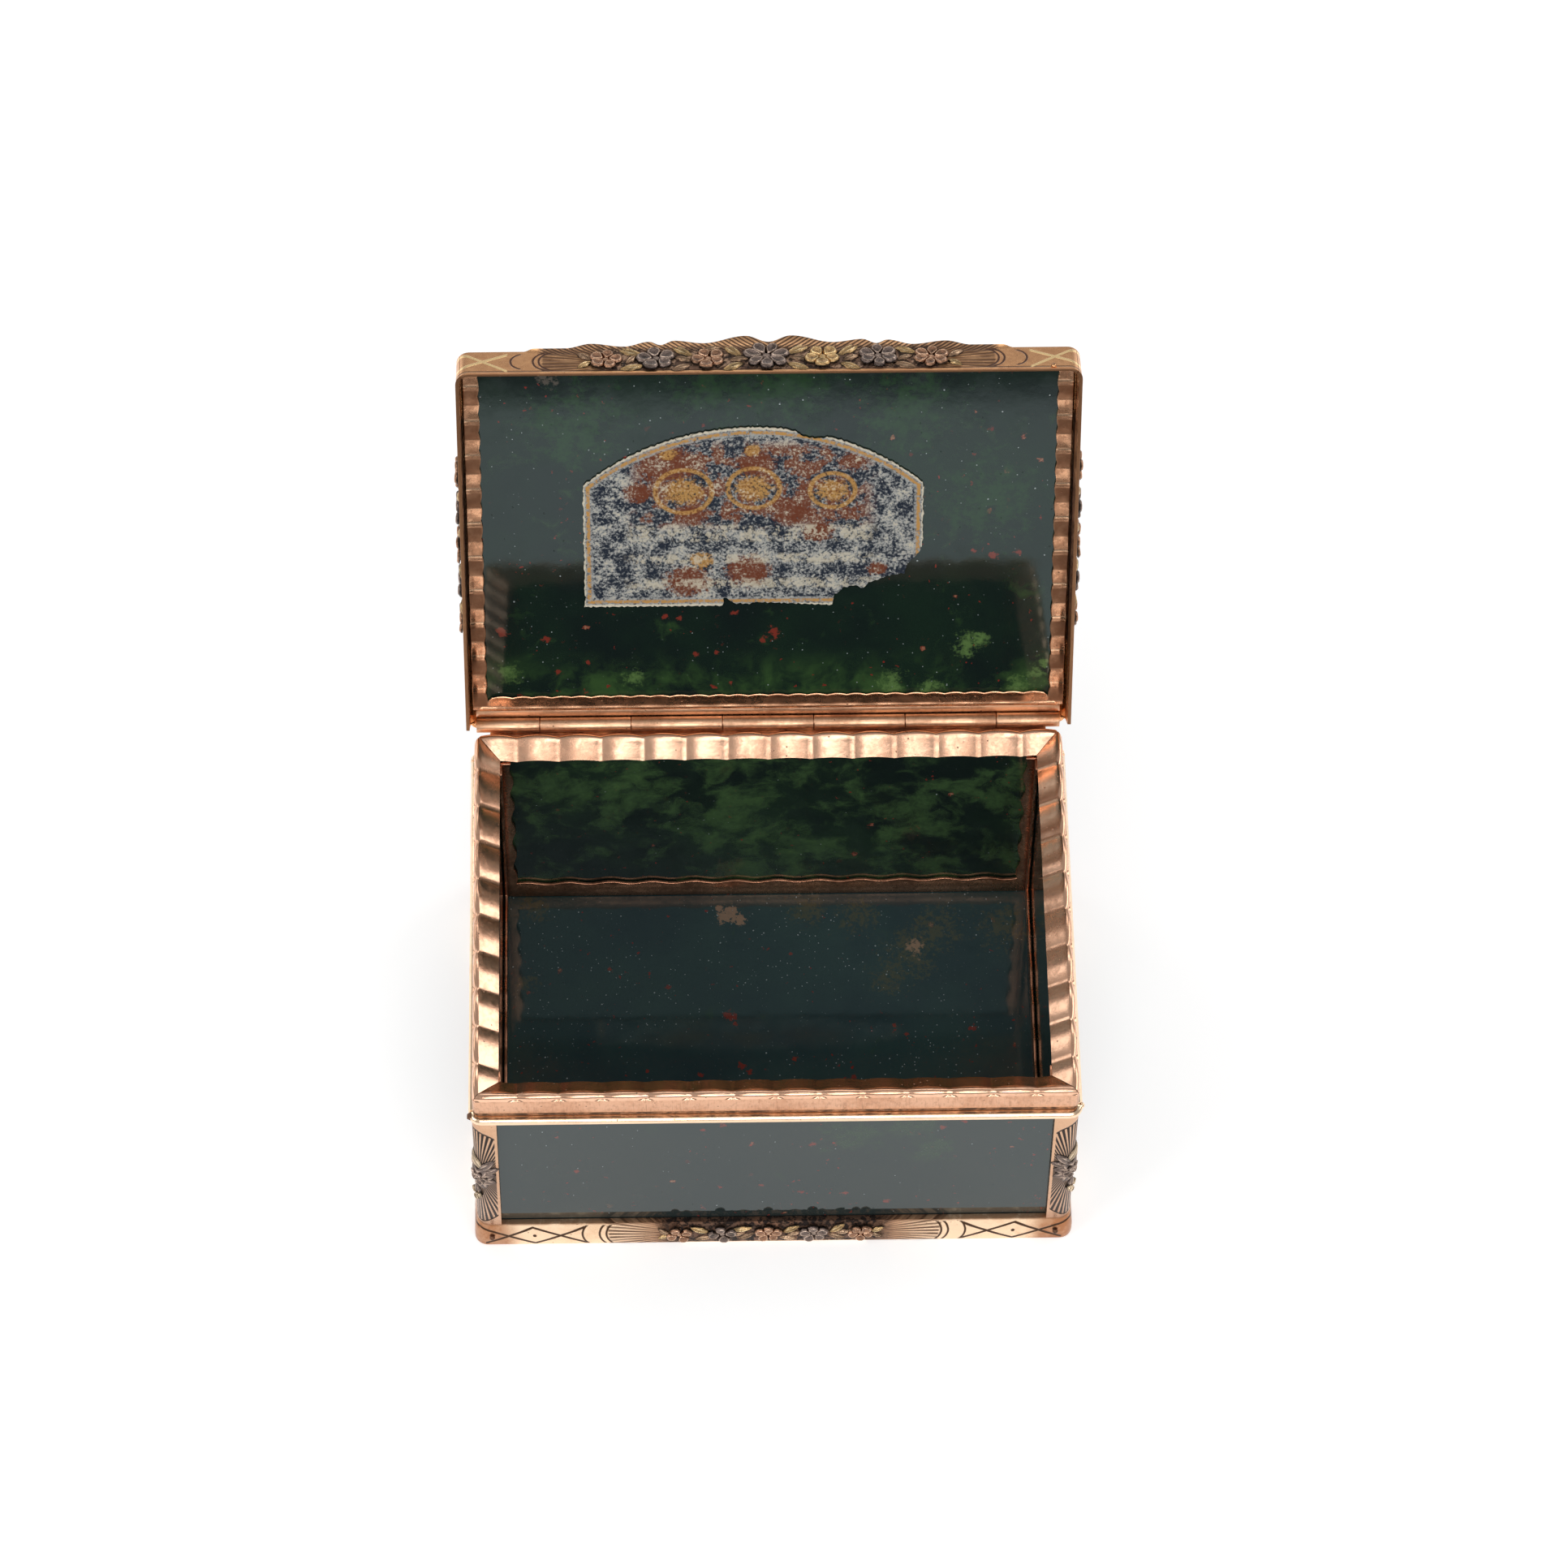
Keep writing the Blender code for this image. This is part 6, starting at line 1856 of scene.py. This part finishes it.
@dataclass
class LidPanel:
    """Polished panel of the lid and the paper label on its inner face."""

    rust: Colour = (0.19, 0.030, 0.020)
    bright: Colour = (0.10, 0.18, 0.055)
    haze: Colour = (0.016, 0.044, 0.016)
    inner_face: float = 0.7
    reds: tuple[Point, ...] = (
        (-33.3, 13.8, 0.7), (-27.7, 12.5, 0.5), (-12.8, 15.7, 0.4), (-11.1, 15.7, 0.35), (-4.3, 16.4, 0.4),
        (0.7, 13.2, 0.85), (-9.1, 10.2, 0.4), (-6.4, 10.4, 0.35), (-26.4, 7.6, 0.4), (-22.8, 4.4, 0.3),
        (-22.5, 8.9, 0.35), (28.0, 24.5, 0.55), (31.0, 24.9, 0.35), (-0.6, 12.2, 0.4), (25.5, 25.2, 0.3),
    )
    lights: tuple[Point, ...] = (
        (24.6, 11.0, 2.0), (26.4, 11.8, 1.2), (15.8, 5.4, 1.8), (31.4, 4.6, 1.6), (33.6, 6.6, 1.3),
        (34.6, 8.4, 0.9), (-32.3, 7.7, 1.6), (-17.3, 6.6, 1.5), (20.0, 4.4, 1.5),
    )
    hazes: tuple[Point, ...] = (
        (2.0, 50.0, 7.0), (17.0, 46.0, 7.0), (-24.0, 44.0, 7.0), (27.0, 33.0, 7.0), (-8.0, 49.0, 5.0),
    )
    label_arch: float = 8.3
    label_thickness: float = 0.13
    fray: float = 0.30
    outline_step: float = 0.35
    head_steps: int = 40
    head_tear: float = 0.75
    head_tear_x: float = 5.2
    head_tear_half: float = 1.7
    foot_tear: tuple[tuple[float, float], ...] = (
        (-5.9, 0.0), (-5.6, 1.3), (-5.0, 0.9), (-4.4, 0.35), (-2.4, 0.25), (-1.6, 0.5), (1.5, 0.35),
        (8.1, -0.05), (8.4, 1.5), (9.6, 2.6), (11.0, 2.9), (11.9, 2.4), (12.7, 3.3), (15.2, 4.3),
        (16.9, 4.6), (17.6, 6.3), (18.4, 7.2),
    )
    right_foot: float = 8.6

    def build(self) -> None:
        """Dress the panel; model and dress the label."""
        face = self.inner_face
        blots = (
            *(Blot((x, -l, face), radius, self.rust, 1.0, 0.4) for x, l, radius in self.reds),
            *(Blot((x, -l, face), radius, self.bright, 0.6, 0.95) for x, l, radius in self.lights),
            *(Blot((x, -l, face), radius, self.haze, 0.4, 0.95) for x, l, radius in self.hazes),
            Blot((-27.0, -51.0, face), 1.1, (0.10, 0.085, 0.07), 1.0, 0.6),
        )
        stone = Bloodstone("clouded_lid_stone", Body.LID, clouds=0.30, red=0.35, tan=0.2, dust=0.3,
                           tilt=0.054, dark=(0.0075, 0.0135, 0.0125), green=(0.0095, 0.0210, 0.0140),
                           lit_end=-11.5, blots=blots)
        paint_node("lid_stone", material_of(stone))
        low, high = Body.LID.extent("paper_label")
        half = (high.x - low.x) / 2
        centre = (high.x + low.x) / 2
        crown = -low.y
        radius = (half * half + self.label_arch ** 2) / (2 * self.label_arch)
        paper = Paper("worn_label_paper", centre, half, -high.y, crown, radius)
        label = self.label(centre, half, -high.y, crown, radius, high.z)
        BENCH.deliver(label, "paper_label_worn", Body.LID, "label_paper", material_of(paper), "paper_label")

    def label(self, centre: float, half: float, foot: float, crown: float, radius: float,
              top: float) -> bpy.types.Object:
        """Sheet of paper with an arched head, frayed edges, a torn corner and a torn head."""
        corners = [(centre - half, crown - self.label_arch), (centre - half, foot)]
        corners += [(x, foot + rise) for x, rise in self.foot_tear]
        corners += [(centre + half, foot + self.right_foot), (centre + half, crown - self.label_arch)]
        for k in range(1, self.head_steps):
            x = centre + half - 2 * half * k / self.head_steps
            rise = math.sqrt(radius * radius - (x - centre) ** 2) - radius
            torn = self.head_tear * math.exp(-((x - self.head_tear_x) / self.head_tear_half) ** 4)
            corners.append((x, crown + rise - torn))
        outline = []
        for (x0, l0), (x1, l1) in zip(corners, corners[1:] + corners[:1]):
            count = max(1, round(math.hypot(x1 - x0, l1 - l0) / self.outline_step))
            outline += [(x0 + (x1 - x0) * k / count, l0 + (l1 - l0) * k / count) for k in range(count)]
        BENCH.clear()
        bpy.ops.mesh.primitive_circle_add(vertices=len(outline), radius=MM, fill_type="NGON")
        obj = bpy.context.object
        for k, vertex in enumerate(obj.data.vertices):
            x, l = outline[k]
            ragged = math.sin(k * 2.3) + math.sin(k * 5.1 + 1.0) + math.sin(k * 0.7)
            inward = self.fray * (0.5 + ragged / 6)
            lift = self.fray * math.sin(k * 3.7) / 3
            vertex.co = Vector((x - inward * math.copysign(1.0, x - centre), -l + lift, top)) * MM
        with BENCH.edit(obj):
            bpy.ops.mesh.select_all(action="SELECT")
            bpy.ops.mesh.extrude_region_move(
                TRANSFORM_OT_translate={"value": (0.0, 0.0, -self.label_thickness * MM)})
        return BENCH.heal(obj)


# Studio, in metres


@dataclass
class Lamp:
    """Soft box light."""

    name: str
    place: Point
    size: tuple[float, float]
    watts: float
    aim: Point = (0.0, 0.0, 0.03)

    def hang(self) -> None:
        """Add the lamp to the scene."""
        data = bpy.data.lights.new(self.name, "AREA")
        data.shape = "RECTANGLE"
        data.size, data.size_y = self.size
        data.energy = self.watts
        lamp = bpy.data.objects.new(self.name, data)
        lamp.location = self.place
        away = Vector(self.place) - Vector(self.aim)
        lamp.rotation_euler = away.to_track_quat("Z", "Y").to_euler()
        bpy.context.scene.collection.objects.link(lamp)


@dataclass
class Studio:
    """White floor, soft lamps, pale surroundings and the camera."""

    camera_place: Point = (-0.013660, -0.424692, 0.721718)
    camera_right: Point = (0.99976087, -0.01945458, 0.00998562)
    camera_up: Point = (0.0109211, 0.83981672, 0.54276017)
    camera_back: Point = (-0.01894526, -0.54252133, 0.83982837)
    lens: float = 149.9216
    floor_size: float = 6.0
    floor_glow: float = 0.42
    world: float = 0.38
    dark_beyond: tuple[float, float] = (-208.0, -197.0)
    lamps: tuple[Lamp, ...] = (
        Lamp("key_soft_box", (-0.80, -0.38, 0.62), (0.60, 0.50), 3.4),
        Lamp("front_soft_box", (0.10, -0.92, 0.60), (0.80, 0.45), 3.8),
        Lamp("right_soft_box", (0.78, 0.26, 0.52), (0.66, 0.50), 2.0),
        Lamp("left_soft_box", (-0.84, 0.62, 0.46), (0.48, 0.48), 0.8),
        Lamp("back_soft_box", (0.06, 0.66, 0.80), (0.70, 0.22), 0.9),
        Lamp("top_soft_box", (0.10, -0.44, 0.92), (0.56, 0.17), 0.8),
        Lamp("low_back_soft_box", (0.0, 0.98, 0.34), (1.00, 0.16), 0.19, (0.0, 0.0, 0.06)),
    )

    def build(self) -> None:
        """Set the floor, lamps, surroundings, camera and view."""
        BENCH.clear()
        bpy.ops.mesh.primitive_plane_add(size=self.floor_size)
        floor = bpy.context.object
        floor.name = "studio_floor"
        floor.data.materials.append(self.floor_material())
        for lamp in self.lamps:
            lamp.hang()
        self.surround()
        self.camera()
        bpy.context.scene.view_settings.view_transform = "Standard"
        log.info("studio: floor, %d lamps, camera", len(self.lamps))

    def floor_material(self) -> bpy.types.Material:
        """White floor with the box's shadow, dark to mirrored rays far in front, in millimetres."""
        sheet = NodeSheet("white_floor")
        rays = sheet.tree.nodes.new("ShaderNodeLightPath")
        at = sheet.place(Body.CASE)
        near = sheet.split(at)[1].rise(*self.dark_beyond)
        glossy = Wire(sheet, rays.outputs["Is Glossy Ray"])
        mirrored = glossy.most(Wire(sheet, rays.outputs["Is Transmission Ray"]))
        seen = Wire(sheet, rays.outputs["Is Camera Ray"]).most(mirrored * near)
        grain = sheet.noise(at, 0.05, detail=2.0)
        colour = sheet.blend(grain * 0.05, (0.80, 0.80, 0.80), (0.76, 0.76, 0.76))
        colour = sheet.blend(mirrored * (1 - near), colour, (0.10, 0.10, 0.10))
        sheet.dress(colour, 0.9)
        sheet.feed(sheet.shader.inputs["Specular IOR Level"], 0.0)
        light = {"Color": (1.0, 1.0, 1.0), "Strength": self.floor_glow}
        glow = sheet.add("ShaderNodeEmission", sockets=light)
        both = sheet.add("ShaderNodeAddShader", sockets={0: Wire(sheet, sheet.shader.outputs[0]), 1: glow})
        pick = sheet.add("ShaderNodeMixShader", sockets={
            0: seen, 1: Wire(sheet, sheet.shader.outputs[0]), 2: both})
        sheet.feed(sheet.tree.nodes["Material Output"].inputs["Surface"], pick)
        return sheet.material

    def surround(self) -> None:
        """Pale surroundings: white to the camera, plain and dimmer to the box."""
        world = bpy.data.worlds.new("pale_surroundings")
        bpy.context.scene.world = world
        world.use_nodes = True
        tree = world.node_tree
        background = tree.nodes["Background"]
        background.inputs["Color"].default_value = (1.0, 1.0, 1.0, 1.0)
        background.inputs["Strength"].default_value = self.world
        white = tree.nodes.new("ShaderNodeBackground")
        white.inputs["Color"].default_value = (1.0, 1.0, 1.0, 1.0)
        white.inputs["Strength"].default_value = 1.0
        rays = tree.nodes.new("ShaderNodeLightPath")
        mix = tree.nodes.new("ShaderNodeMixShader")
        tree.links.new(rays.outputs["Is Camera Ray"], mix.inputs[0])
        tree.links.new(background.outputs[0], mix.inputs[1])
        tree.links.new(white.outputs[0], mix.inputs[2])
        tree.links.new(mix.outputs[0], tree.nodes["World Output"].inputs["Surface"])

    def camera(self) -> None:
        """Camera at the photograph's viewing angle."""
        data = bpy.data.cameras.new("camera")
        data.lens = self.lens
        data.clip_start = 0.01
        data.clip_end = 20.0
        camera = bpy.data.objects.new("camera", data)
        axes = (Vector(self.camera_right), Vector(self.camera_up), Vector(self.camera_back))
        turn = Matrix([[axis[row] for axis in axes] for row in range(3)]).to_4x4()
        camera.matrix_world = Matrix.Translation(self.camera_place) @ turn
        bpy.context.scene.collection.objects.link(camera)
        bpy.context.scene.camera = camera


def main() -> None:
    """Build and dress the case, the hinge, the lid and the studio."""
    logging.basicConfig(level=logging.INFO, format="%(name)s %(message)s")
    parts = (BaseMount(), Stones(), WallRetainers(), Pilasters(), Mouth(), Hinge(), LidMount(), LidSprays(),
             LidRetainers(), LidPanel())
    for part in parts:
        log.info("building %s", type(part).__name__)
        part.build()
    CHASER.tidy_up()
    Studio().build()


if __name__ == "__main__":
    main()
